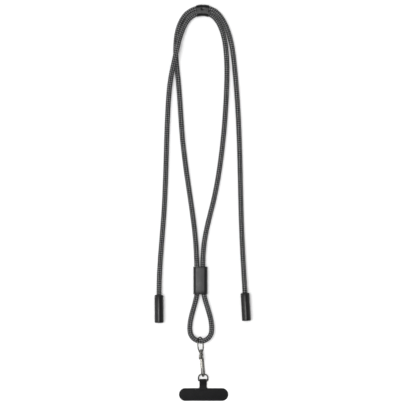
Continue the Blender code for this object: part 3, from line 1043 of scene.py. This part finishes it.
@dataclass
class Slider:
    """The oval slider that gathers the two inner strands above the teardrop."""

    place: tuple[float, float] = (-0.0030, -0.0969)
    width: float = 17.6 * MM
    height: float = SLIDER_HEIGHT
    length: float = 34.1 * MM
    wall: float = 0.7 * MM
    crown: float = 0.05 * MM
    pin_d: float = 1.1 * MM
    pin_y: float = -107.8 * MM
    pin_aside: float = 0.1 * MM
    pin_depth: float = 0.35 * MM

    def build(self, wardrobe: Wardrobe) -> list[Object]:
        """Draw the tube in satin black, with a small blind pin hole in its face."""
        sizes = (self.width, self.height, self.length, self.wall)
        tube = OvalSleeve("slider_tube", *sizes, 6, crown=self.crown)
        obj = tube.build()
        tube.thicken(obj, facing((*self.place, self.height / 2), (1, 0, 0), (0, 0, 1)))
        deselect()
        bpy.ops.mesh.primitive_cylinder_add(
            vertices=32,
            radius=self.pin_d / 2,
            depth=2 * self.pin_depth,
            location=(self.place[0] + self.pin_aside, self.pin_y, self.height),
        )
        boolean(obj, settle(named("pin_cutter")), "DIFFERENCE")
        smooth(obj, 50)
        return [dress(obj, wardrobe.satin, "lanyard", "slider")]


@dataclass
class NeckClip:
    """The short arched sleeve at the back of the neck, crimped with one dimple and a dent."""

    place: tuple[float, float] = (-0.0002, 0.2402)
    width: float = 14.6 * MM
    height: float = CLIP_HEIGHT
    length: float = 15.1 * MM
    wall: float = 0.5 * MM
    arch: float = 28.2 * MM
    flare: float = 0.085
    dimple: tuple[float, float] = (1.5 * MM, -0.3 * MM)
    dimple_depth: float = 0.42 * MM
    dimple_reach: float = 2.2 * MM
    dent: tuple[float, float] = (0.8 * MM, -0.1 * MM)
    dent_depth: float = 0.30 * MM
    dent_reach: float = 1.7 * MM

    def build(self, wardrobe: Wardrobe) -> list[Object]:
        """Draw the arched tube in satin black and crimp it."""
        sizes = (self.width, self.height, self.length, self.wall)
        tube = OvalSleeve("neck_sleeve", *sizes, 32, self.arch, self.flare)
        obj = tube.build()
        top = Vector((self.dimple[0], self.height / 2, self.dimple[1]))
        tube.dent(obj, top, Vector((0, -self.dimple_depth, 0)), self.dimple_reach)
        rim = Vector((self.width / 2, *self.dent))
        tube.dent(obj, rim, Vector((-self.dent_depth, 0, 0)), self.dent_reach)
        tube.thicken(obj, facing((*self.place, self.height / 2), (0, 1, 0), (0, 0, 1)))
        return [dress(obj, wardrobe.satin, "lanyard", "neck_clip")]


@dataclass
class Cap:
    """The pull-off cap over a plug: a drawn cup with a rolled foot and a fine seam."""

    side: Side
    diameter: float = CAP_D
    length: float = 32.1 * MM
    wall: float = 0.9 * MM
    floor: float = 1.5 * MM
    foot_round: float = 1.0 * MM
    seam_up: float = 2.9 * MM
    seam_width: float = 0.22 * MM
    seam_depth: float = 0.12 * MM
    mouth_down: float = 2.7 * MM

    def build(self, wardrobe: Wardrobe) -> list[Object]:
        """Turn the cup from a satin black cylinder, its mouth upwards, and lay it on its plug."""
        side, foot = self.side.label, -self.length
        obj = cylinder(f"cap_shell_{side}", self.diameter / 2, self.length)
        groove(obj, foot + self.seam_up, self.seam_width, self.seam_depth)
        select(obj, "FACE", lambda c, n: n.z > 0.9 and c.z > -NEAR)
        bpy.ops.mesh.inset(thickness=self.wall)
        extrude(0, 0, self.floor - self.length)
        select(obj, "EDGE", lambda p, q: max(p.z, q.z) < foot + NEAR)
        bpy.ops.mesh.bevel(offset=self.foot_round, segments=7, affect="EDGES")
        select(obj, "EDGE", lambda p, q: min(p.z, q.z) > -NEAR)
        bpy.ops.mesh.bevel(offset=self.wall * 0.3, segments=3, affect="EDGES")
        bpy.ops.object.mode_set(mode="OBJECT")
        settle(obj, self.side.frame() @ Matrix.Translation((0, 0, -self.mouth_down)))
        smooth(obj)
        return [dress(obj, wardrobe.satin, f"cap_{side}", f"cap_{side}")]


@dataclass
class Plug:
    """The moulded plug: a domed collar, a grooved body and a hollow metal tongue."""

    side: Side
    collar_d: float = CAP_D
    collar_length: float = 2.4 * MM
    collar_round: float = 1.9 * MM
    body_d: float = 8.8 * MM
    tip: float = -24.4 * MM
    socket_d: float = 6.7 * MM
    socket_depth: float = 3.4 * MM
    tongue_width: float = 8.34 * MM
    tongue_height: float = 2.56 * MM
    tongue_length: float = 6.65 * MM
    tongue_wall: float = 0.3 * MM
    tongue_root: float = 0.6 * MM
    board: tuple[float, float] = (6.6 * MM, 0.7 * MM)
    board_back: float = 0.8 * MM
    grooves: tuple[float, float, float] = (5.0 * MM, 7.2 * MM, 9.4 * MM)
    groove_width: float = 0.9 * MM
    groove_depth: float = 0.25 * MM

    def body(self) -> Object:
        """Turn the collar and the grooved body, with the cord's socket in the mouth."""
        obj = cylinder(f"plug_body_{self.side.label}", self.collar_d / 2, self.collar_length)
        select(obj, "FACE", lambda c, n: n.z < -0.9)
        bpy.ops.mesh.inset(thickness=(self.collar_d - self.body_d) / 2)
        extrude(0, 0, self.tip + self.collar_length)
        bpy.ops.mesh.bevel(offset=0.5 * MM, segments=4, affect="EDGES")
        select(obj, "EDGE", lambda p, q: min(p.z, q.z) > -NEAR)
        bpy.ops.mesh.bevel(offset=self.collar_round, segments=9, affect="EDGES")
        select(obj, "FACE", lambda c, n: n.z > 0.9 and c.length < 10 * NEAR)
        dome = self.collar_d / 2 - self.collar_round
        bpy.ops.mesh.inset(thickness=dome - self.socket_d / 2)
        extrude(0, 0, -self.socket_depth)
        for up in self.grooves:
            groove(obj, self.tip + up, self.groove_width, self.groove_depth)
        bpy.ops.object.mode_set(mode="OBJECT")
        settle(obj, self.side.frame())
        smooth(obj)
        return obj

    def tongue(self) -> Object:
        """Draw the hollow metal shell of the tongue and the contact board inside it."""
        name = f"plug_shell_{self.side.label}"
        down = self.tip - (self.tongue_length - self.tongue_root) / 2
        middle = self.side.frame() @ Matrix.Translation((0, 0, down))
        length = self.tongue_length + self.tongue_root
        shell = OvalSleeve(name, self.tongue_width, self.tongue_height, length, self.tongue_wall)
        obj = shell.build()
        shell.thicken(obj, middle)
        deselect()
        scale = (*self.board, self.tongue_length - self.board_back)
        bpy.ops.mesh.primitive_cube_add(size=1, scale=scale)
        board = settle(named("board"))
        modify(board, "BEVEL", width=0.15 * MM, segments=2, limit_method="NONE")
        settle(board, middle)
        return joined(name, [obj, board])

    def build(self, wardrobe: Wardrobe) -> list[Object]:
        """Make the body of moulded elastomer and the tongue of steel."""
        body, tongue = self.body(), self.tongue()
        dress(body, wardrobe.elastomer, "lanyard", f"plug_{self.side.label}")
        dress(tongue, wardrobe.steel, "lanyard")
        return [body, tongue]


@dataclass
class SwivelEye:
    """The oval wire eye on the teardrop, with the collar that the clasp's post turns in."""

    tilt: float = 54.0
    length: float = 19.0 * MM
    width: float = 11.2 * MM
    square: float = 2.3
    wire_d: float = 1.5 * MM
    collar_d: float = 4.4 * MM
    collar_length: float = 2.4 * MM
    bore_d: float = 2.6 * MM

    def build(self, wardrobe: Wardrobe) -> list[Object]:
        """Bend the black nickel wire, weld the collar on and bore it."""
        place = clasp_frame(math.radians(90 - self.tilt))
        centre = -(CLEAR + self.collar_length / 2 + self.length / 2)
        points = []
        for i in range(96):
            angle = 2 * math.pi * i / 96
            c, s = math.cos(angle), math.sin(angle)
            along = math.copysign(abs(c) ** (2 / self.square), c)
            across = math.copysign(abs(s) ** (2 / self.square), s)
            points.append((centre + along * self.length / 2, across * self.width / 2, 0))
        obj = wire("swivel_eye", points, self.wire_d / 2, Matrix(), closed=True, sides=5)
        top = -CLEAR - self.collar_length
        rod(obj, self.collar_d / 2, top, -CLEAR, "UNION", 0.35 * MM)
        rod(obj, self.bore_d / 2, top - 2 * MM, 1 * MM, "DIFFERENCE")
        settle(obj, place)
        smooth(obj, 40)
        return [dress(obj, wardrobe.plated, "lanyard", "clasp_eye")]


def rod(
    obj: Object,
    radius: float,
    start: float,
    end: float,
    operation: str,
    edge: float = 0.0,
    axis: str = "X",
    place: Matrix | None = None,
) -> None:
    """Join a round rod to a piece, or cut one out of it.

    Args:
        obj: The piece, in its own frame.
        radius: The rod's radius.
        start: Where it starts along its axis.
        end: Where it ends.
        operation: UNION or DIFFERENCE.
        edge: The round of its rims.
        axis: X or Z, the rod's axis.
        place: Its frame within the piece's own.
    """
    deselect()
    bpy.ops.mesh.primitive_cylinder_add(vertices=48, radius=radius, depth=end - start)
    tool = named("rod_tool")
    if edge:
        round_edges(tool, edge)
    turn = Matrix.Rotation(math.pi / 2, 4, "Y") if axis == "X" else Matrix()
    settle(tool, (place or Matrix()) @ turn @ Matrix.Translation((0, 0, (start + end) / 2)))
    boolean(obj, tool, operation)


@dataclass
class ClaspHook:
    """The cast hook: a headed swivel post, a barrel, two ears for the gate and the hook itself."""

    roll: float = 18.0
    length: float = 29.2 * MM
    span: float = 4.15 * MM
    spine_r: float = 1.25 * MM
    bend_r: float = 0.8 * MM
    nose_r: float = 0.95 * MM
    nose_length: float = 5.2 * MM
    post_d: float = 2.0 * MM
    head_d: float = 3.5 * MM
    head_length: float = 2.1 * MM
    barrel_d: float = 4.8 * MM
    barrel_length: float = 3.0 * MM
    collar_length: float = 2.4 * MM
    pivot: tuple[float, float] = (5.4 * MM, 3.0 * MM)
    ear_r: float = 1.7 * MM
    ear_foot: tuple[float, float] = (2.0 * MM, 0.4 * MM)
    ear_thick: float = 0.8 * MM
    gate_thick: float = 1.7 * MM
    gate_root_r: float = 1.5 * MM
    rivet_d: float = 1.2 * MM
    play: float = 0.2 * MM

    def line(self) -> tuple[list[tuple[float, float]], list[float]]:
        """The hook's centre line from the barrel round to the nose, and its radius along it."""
        bend_x = self.length - self.bend_r - self.span
        lead = [(0.5, 0.0), (1.0, 0.28), (1.45, 0.66), (2.1, 0.92), (3.0, 1.0)]
        points = [(self.barrel_length * a, -self.span * d, self.spine_r) for a, d in lead]
        points.append(((points[-1][0] + bend_x) / 2, -self.span, self.spine_r))
        for i, (x, y) in enumerate(arc((bend_x, 0), self.span, -90, 90, 12)):
            taper = self.spine_r + (self.bend_r - self.spine_r) * min(i / 6, 1)
            swell = self.bend_r + (self.nose_r - self.bend_r) * max(i - 8, 0) / 4
            points.append((x, y, taper if i < 9 else swell))
        points.append((bend_x - self.nose_length * 0.6, self.span, self.nose_r))
        nose = (bend_x - self.nose_length, self.span - self.nose_r * 0.2, self.nose_r * 0.85)
        at, last = natural_spline(np.array([*points, nose]))
        fine = at(np.linspace(0, last, 110))
        return [(x, y) for x, y, _ in fine.tolist()], [r for _, _, r in fine.tolist()]

    def build(self, wardrobe: Wardrobe) -> list[Object]:
        """Cast the hook in black nickel, with its barrel, post and ears, and seat the gate."""
        line, radii = self.line()
        obj = wire("cast_hook", line, self.spine_r, Matrix(), radii=radii, sides=8)
        rod(obj, self.barrel_d / 2, 0, self.barrel_length, "UNION", 0.45 * MM)
        neck = -2 * CLEAR - self.collar_length
        rod(obj, self.post_d / 2, neck - self.head_length / 2, 1 * MM, "UNION")
        rod(obj, self.head_d / 2, neck - self.head_length, neck, "UNION", 0.7 * MM)
        offset = self.gate_thick / 2 + self.play + self.ear_thick / 2
        for side in (-1, 1):
            outline = link(self.ear_foot, self.pivot, self.ear_r, self.ear_r)
            ear = plate("ear", outline, self.ear_thick, 0.2 * MM)
            boolean(obj, settle(ear, Matrix.Translation((0, 0, side * offset))), "UNION")
        at = Matrix.Translation((*self.pivot, 0))
        hole = self.rivet_d / 2 + self.play
        rod(obj, hole, -2 * offset, 2 * offset, "DIFFERENCE", axis="Z", place=at)
        slot = self.gate_root_r + 2 * self.play
        half = self.gate_thick / 2 + self.play
        rod(obj, slot, -half, half, "DIFFERENCE", axis="Z", place=at)
        settle(obj, clasp_frame(math.radians(self.roll)))
        smooth(obj, 42)
        return [dress(obj, wardrobe.plated, "clasp", "clasp_hook")]


@dataclass
class ClaspGate:
    """The sprung gate with its thumb nub, and the domed rivet that it turns on."""

    hook: ClaspHook
    arm_r: float = 0.8 * MM
    arm_thick: float = 1.67 * MM
    thumb_thick: float = 1.63 * MM
    thumb_tip: tuple[float, float] = (2.4 * MM, 6.6 * MM)
    thumb_r: float = 1.0 * MM
    rivet_head_d: float = 2.0 * MM
    rivet_head: float = 0.4 * MM

    def place(self) -> Matrix:
        """The gate's frame at its pivot."""
        return clasp_frame(math.radians(self.hook.roll)) @ Matrix.Translation((*self.hook.pivot, 0))

    def gate(self) -> Object:
        """Join the root disc, the arm up to the nose and the thumb nub, and drill the hole."""
        hook = self.hook
        nose_end = hook.length - hook.bend_r - hook.span - hook.nose_length
        tip = (nose_end - CLEAR - hook.pivot[0] - self.arm_r, hook.span - hook.pivot[1])
        nub = (self.thumb_tip[0] - hook.pivot[0], self.thumb_tip[1] - hook.pivot[1])
        root = arc((0, 0), hook.gate_root_r, 0, 360, 48)[:-1]
        obj = plate("sprung_gate", root, hook.gate_thick, 0.25 * MM)
        arm = link((0, 0), tip, self.arm_r * 1.3, self.arm_r)
        boolean(obj, plate("arm", arm, self.arm_thick, 0.35 * MM), "UNION")
        thumb = link((0, 0), nub, self.thumb_r, self.thumb_r)
        boolean(obj, plate("thumb", thumb, self.thumb_thick, 0.4 * MM), "UNION")
        hole = hook.rivet_d / 2 + hook.play
        rod(obj, hole, -hook.gate_thick, hook.gate_thick, "DIFFERENCE", axis="Z")
        settle(obj, self.place())
        smooth(obj, 42)
        return obj

    def rivet(self) -> Object:
        """Turn the rivet, with a low dome at each end."""
        hook = self.hook
        seat = hook.gate_thick / 2 + 2 * hook.play + hook.ear_thick
        dome = [(0.0, 1.0), (0.25, 0.98), (0.5, 0.89), (0.75, 0.68), (0.93, 0.38), (1.0, 0.12)]
        shank, head = hook.rivet_d / 2, self.rivet_head_d / 2
        upper = [(seat - NEAR, shank)]
        upper += [(seat + self.rivet_head * up, head * share) for up, share in dome]
        whole = [(-height, radius) for height, radius in reversed(upper)] + upper
        line = [(0, 0, height) for height, _ in whole]
        radii = [radius for _, radius in whole]
        obj = wire("gate_rivet", line, head, self.place(), radii=radii, sides=10)
        smooth(obj, 42)
        return obj

    def build(self, wardrobe: Wardrobe) -> list[Object]:
        """Make the gate in the paler plating, painted highlight for the light on its face, and the
        rivet in black.
        """
        gate = dress(self.gate(), wardrobe.bright, "gate", "clasp_gate")
        rivet = dress(self.rivet(), wardrobe.plated, "clasp", "clasp_rivet")
        return [gate, rivet]


@dataclass
class RingOnPatch:
    """The D-ring, its bar in the patch's tab and its round top in the hook."""

    hook: ClaspHook
    wire_d: float = 1.6 * MM
    width: float = 11.6 * MM
    tab_width: float = 9.1 * MM
    top_round: float = 4.0 * MM
    drop: float = -1.0 * MM
    bar: tuple[float, float] = (0.0004, -0.2222)
    cloth: float = 1.0 * MM

    def seat(self) -> tuple[Matrix, float]:
        """The ring's frame at the middle of its bar, and its height up to its seat in the hook."""
        hook = self.hook
        bend_x = hook.length - hook.bend_r - hook.span
        inside = hook.span - hook.bend_r - self.wire_d / 2 - CLEAR
        along = bend_x + math.sqrt(inside**2 - self.drop**2)
        top = clasp_frame(math.radians(hook.roll)) @ Vector((along, self.drop, 0))
        bar = Vector((*self.bar, self.wire_d / 2 + CLEAR + self.cloth))
        up = top - bar
        up.x = 0
        return facing(bar, (1, 0, 0), up), up.length

    def build(self, wardrobe: Wardrobe) -> list[Object]:
        """Bend the ring from black nickel wire."""
        place, height = self.seat()
        half, high = self.width / 2, self.top_round
        low = (self.width - self.tab_width) / 2
        line = arc((half - low, low), low, -90, 0, 10)
        line += arc((half - high, height - high), high, 0, 90, 16)
        line += arc((high - half, height - high), high, 90, 180, 16)
        line += arc((low - half, low), low, 180, 270, 10)
        obj = wire("tether_ring", line, self.wire_d / 2, place, closed=True, sides=5)
        smooth(obj, 60)
        return [dress(obj, wardrobe.plated, "clasp", "d_ring")]


@dataclass
class TetherPatch:
    """The T-shaped cloth patch, its tab folded round the ring's bar and sewn down."""

    ring: RingOnPatch
    length: float = 61.5 * MM
    width: float = 15.9 * MM
    centre: tuple[float, float] = (0.0010, -0.2396)
    lap: float = 2.2 * MM
    junction_round: float = 1.8 * MM
    rim: float = 0.12 * MM
    rim_width: float = 1.1 * MM
    edge: float = 0.25 * MM
    strap_edge: float = 0.28 * MM
    fold: tuple[tuple[float, float], ...] = ((3.1, 2.25), (4.6, 1.75), (6.4, 1.52))
    lap_up: float = 1.46 * MM
    seam_in: float = 1.9 * MM
    rows: tuple[float, float] = (7.9 * MM, 9.6 * MM)
    row_step: float = 1.55 * MM
    row_up: float = 1.97 * MM
    stitch: float = 2.0 * MM
    stitch_r: float = 0.19 * MM
    stitch_reach: float = 0.55 * MM
    hidden_lap: float = 10 * MM

    def __post_init__(self) -> None:
        """Take the tab's sizes from the ring that it holds."""
        self.thick, self.tab_width = self.ring.cloth, self.ring.tab_width
        self.tab_x, self.bar_y = self.ring.bar

    def outline(self) -> list[tuple[float, float]]:
        """The cut's outline from above, with the tab as far as the ring's bar."""
        x, y = self.centre
        end_r = self.width / 2
        reach = self.length / 2 - end_r
        turn = self.junction_round
        right, left = self.tab_x + self.tab_width / 2, self.tab_x - self.tab_width / 2
        points = arc((x + reach, y), end_r, -90, 90, 28)
        points += arc((right + turn, y + end_r + turn), turn, 270, 180, 8)
        points += [(right, self.bar_y), (left, self.bar_y)]
        points += arc((left - turn, y + end_r + turn), turn, 0, -90, 8)
        points += arc((x - reach, y), end_r, 90, 270, 28)
        return points

    def tab_line(self) -> list[tuple[float, float]]:
        """The middle of the cloth from the bar round and back down on top, as Y and Z."""
        middle = self.ring.wire_d / 2 + CLEAR + self.thick / 2
        centre = (self.bar_y, middle + self.thick / 2)
        line = arc(centre, middle, -90, 118, 26)
        lap_end = self.centre[1] + self.width / 2 - self.lap
        line += [(self.bar_y - down * MM, up * MM) for down, up in self.fold]
        return [*line, (lap_end, self.lap_up)]

    def strap(self) -> Object:
        """The folded part of the tab as a closed band of the cloth's thickness."""
        line = [Vector((*p, 0)) for p in self.tab_line()]
        points, faces = [], []
        half = self.tab_width / 2
        rim = self.strap_edge
        flat = self.thick / 2
        under = [(-half, rim - flat), (rim - half, -flat), (half - rim, -flat), (half, rim - flat)]
        section = under + [(-across, -lift) for across, lift in under]
        for i, here in enumerate(line):
            way = (line[min(i + 1, len(line) - 1)] - line[max(i - 1, 0)]).normalized()
            out = Vector((way.y, -way.x, 0))
            for across, lift in section:
                spot = here + out * lift
                points.append((self.tab_x + across, spot.x, spot.y))
        count = len(section)
        for start in range(0, (len(line) - 1) * count, count):
            for j in range(count):
                a, b = start + j, start + (j + 1) % count
                faces.append((a, b, b + count, a + count))
        faces.append(tuple(range(count))[::-1])
        faces.append(tuple(range((len(line) - 1) * count, len(line) * count)))
        obj = mesh_object("tab_fold", points, faces)
        mend(obj)
        return obj

    def cloth(self) -> Object:
        """Cut the cloth, press its rim and fold the tab back on it."""
        points = [(x, y, 0.0) for x, y in self.outline()]
        obj = mesh_object("patch_cloth", points, [range(len(points))])
        edit_all(obj)
        extrude(0, 0, self.thick - self.rim)
        bpy.ops.mesh.inset(thickness=self.rim_width)
        bpy.ops.mesh.inset(thickness=self.edge)
        bpy.ops.transform.translate(value=(0, 0, self.rim))
        bpy.ops.object.mode_set(mode="OBJECT")
        mend(obj)
        round_edges(obj, self.edge)
        made = joined("patch_cloth", [obj, self.strap()])
        smooth(made, 40)
        return made

    def seams(self) -> list[tuple[float, float, float, float]]:
        """Where each stitch lies, as its middle and its heading in degrees."""
        found = []
        x, y = self.centre
        reach = self.length / 2 - self.width / 2
        ring = self.width / 2 - self.seam_in
        top = self.thick
        run = 2 * reach
        count = int(run / self.stitch)
        for i in range(count):
            along = x - reach + (i + 0.5) * run / count
            found.append((along, y - ring, top, 0.0))
            if abs(along - self.tab_x) > self.tab_width / 2 + 0.8 * MM:
                found.append((along, y + ring, top, 0.0))
        bends = int(math.pi * ring / self.stitch)
        for i in range(bends):
            angle = -90 + 180 * (i + 0.5) / bends
            c, s = math.cos(math.radians(angle)), math.sin(math.radians(angle))
            found.append((x + reach + ring * c, y + ring * s, top, angle + 90))
            found.append((x - reach - ring * c, y + ring * s, top, 90 - angle))
        for row in self.rows:
            for i in range(-2, 3):
                across = self.tab_x + i * self.row_step
                found.append((across, self.bar_y - row, self.row_up, 0.0))
        return found

    def stitches(self) -> Object:
        """Model one stitch and copy it along the seams."""
        deselect()
        bpy.ops.mesh.primitive_uv_sphere_add(
            segments=10, ring_count=8, radius=self.stitch_r, rotation=(0, math.pi / 2, 0)
        )
        first = settle(named("stitch"))
        for way in (1, -1):
            select(first, "VERT", lambda p: p.x * way > NEAR)
            bpy.ops.transform.translate(value=(way * self.stitch_reach, 0, -0.12 * MM))
        bpy.ops.object.mode_set(mode="OBJECT")
        copies = []
        for x, y, z, heading in self.seams():
            copy = first.copy()
            copy.data = first.data.copy()
            bpy.context.scene.collection.objects.link(copy)
            turn = Matrix.Rotation(math.radians(heading), 4, "Z")
            settle(copy, Matrix.Translation((x, y, z + 0.02 * MM)) @ turn)
            copies.append(copy)
        bpy.data.objects.remove(first)
        made = joined("tether_stitches", copies)
        smooth(made, 80)
        return made

    def build(self, wardrobe: Wardrobe) -> list[Object]:
        cloth = dress(self.cloth(), wardrobe.cloth, "clasp", "tether_patch")
        thread = dress(self.stitches(), wardrobe.thread, "clasp")
        return [cloth, thread]


@dataclass
class Studio:
    """The pale table, the soft lights and the camera straight above."""

    span: float = 0.50625
    middle: tuple[float, float] = (-0.000375, 0.000375)
    camera_up: float = 3.0
    sensor: float = 36.0
    table_span: float = 8.0
    overhead: float = 8.4
    left: float = 1.3
    right: float = 0.35
    ceiling: float = 1.05
    world: float = 0.27

    def table(self, finish: Material) -> None:
        """Lay the table under the lanyard."""
        deselect()
        bpy.ops.mesh.primitive_plane_add(size=self.table_span)
        top = named("table_top")
        top.data.materials.append(finish)

    def lights(self) -> None:
        """Hang a strip light and a pale ceiling over the camera, and a softbox at each side."""
        bpy.context.scene.view_settings.view_transform = "Standard"
        world = bpy.data.worlds.new("studio_air")
        world.use_nodes = True
        fill(world.node_tree.nodes["Background"], {0: linear("#FFFFFF"), 1: self.world})
        bpy.context.scene.world = world
        for name, place, wide, deep, radiance in (
            ("overhead_strip", (-0.85, 0.0, 3.6), 1.9, 1.4, self.overhead),
            ("pale_ceiling", (0.0, 0.0, 3.9), 5.0, 5.0, self.ceiling),
            ("left_softbox", (-2.2, 0.0, 1.2), 1.6, 2.4, self.left),
            ("right_softbox", (2.2, 0.0, 1.2), 1.6, 2.4, self.right),
        ):
            light = bpy.data.lights.new(name, "AREA")
            light.shape = "RECTANGLE"
            light.size, light.size_y = wide, deep
            light.energy = radiance * math.pi * wide * deep
            lamp = bpy.data.objects.new(name, light)
            lamp.location = place
            lamp.rotation_euler = (0, math.atan2(place[0], place[2]), 0)
            lamp.visible_camera = False
            lamp.visible_glossy = name != "pale_ceiling"
            bpy.context.scene.collection.objects.link(lamp)

    def camera(self) -> None:
        """Hang a long lens straight above, with the photograph's frame."""
        data = bpy.data.cameras.new("camera")
        data.sensor_width = self.sensor
        data.lens = self.sensor * self.camera_up / self.span
        data.clip_end = 20.0
        view = bpy.data.objects.new("camera", data)
        view.location = (*self.middle, self.camera_up)
        bpy.context.scene.collection.objects.link(view)
        bpy.context.scene.camera = view

    def build(self) -> None:
        """Set up the whole studio."""
        self.table(TableTop().build())
        self.lights()
        self.camera()


def main() -> None:
    """Build the lanyard's pieces in order and report each one."""
    logging.basicConfig(level=logging.INFO, format="%(name)s: %(message)s")
    studio = Studio()
    studio.build()
    wardrobe = Wardrobe.made()

    cord = BraidedCord()
    cord_obj = cord.build()
    log.info("cord: %.3f m, %d faces", cord.length, len(cord_obj.data.polygons))
    carried = []
    for piece in (Slider(), NeckClip(), SwivelEye(), *map(Cap, Side), *map(Plug, Side)):
        carried += piece.build(wardrobe)
    cord.declare(cord_obj, wardrobe)

    hook = ClaspHook()
    ring = RingOnPatch(hook)
    hanging = []
    for piece in (ring, TetherPatch(ring), hook, ClaspGate(hook)):
        hanging += piece.build(wardrobe)
    for obj in carried + hanging:
        log.info("%s: %d faces", obj.name, len(obj.data.polygons))

    deselect()


if __name__ == "__main__":
    main()
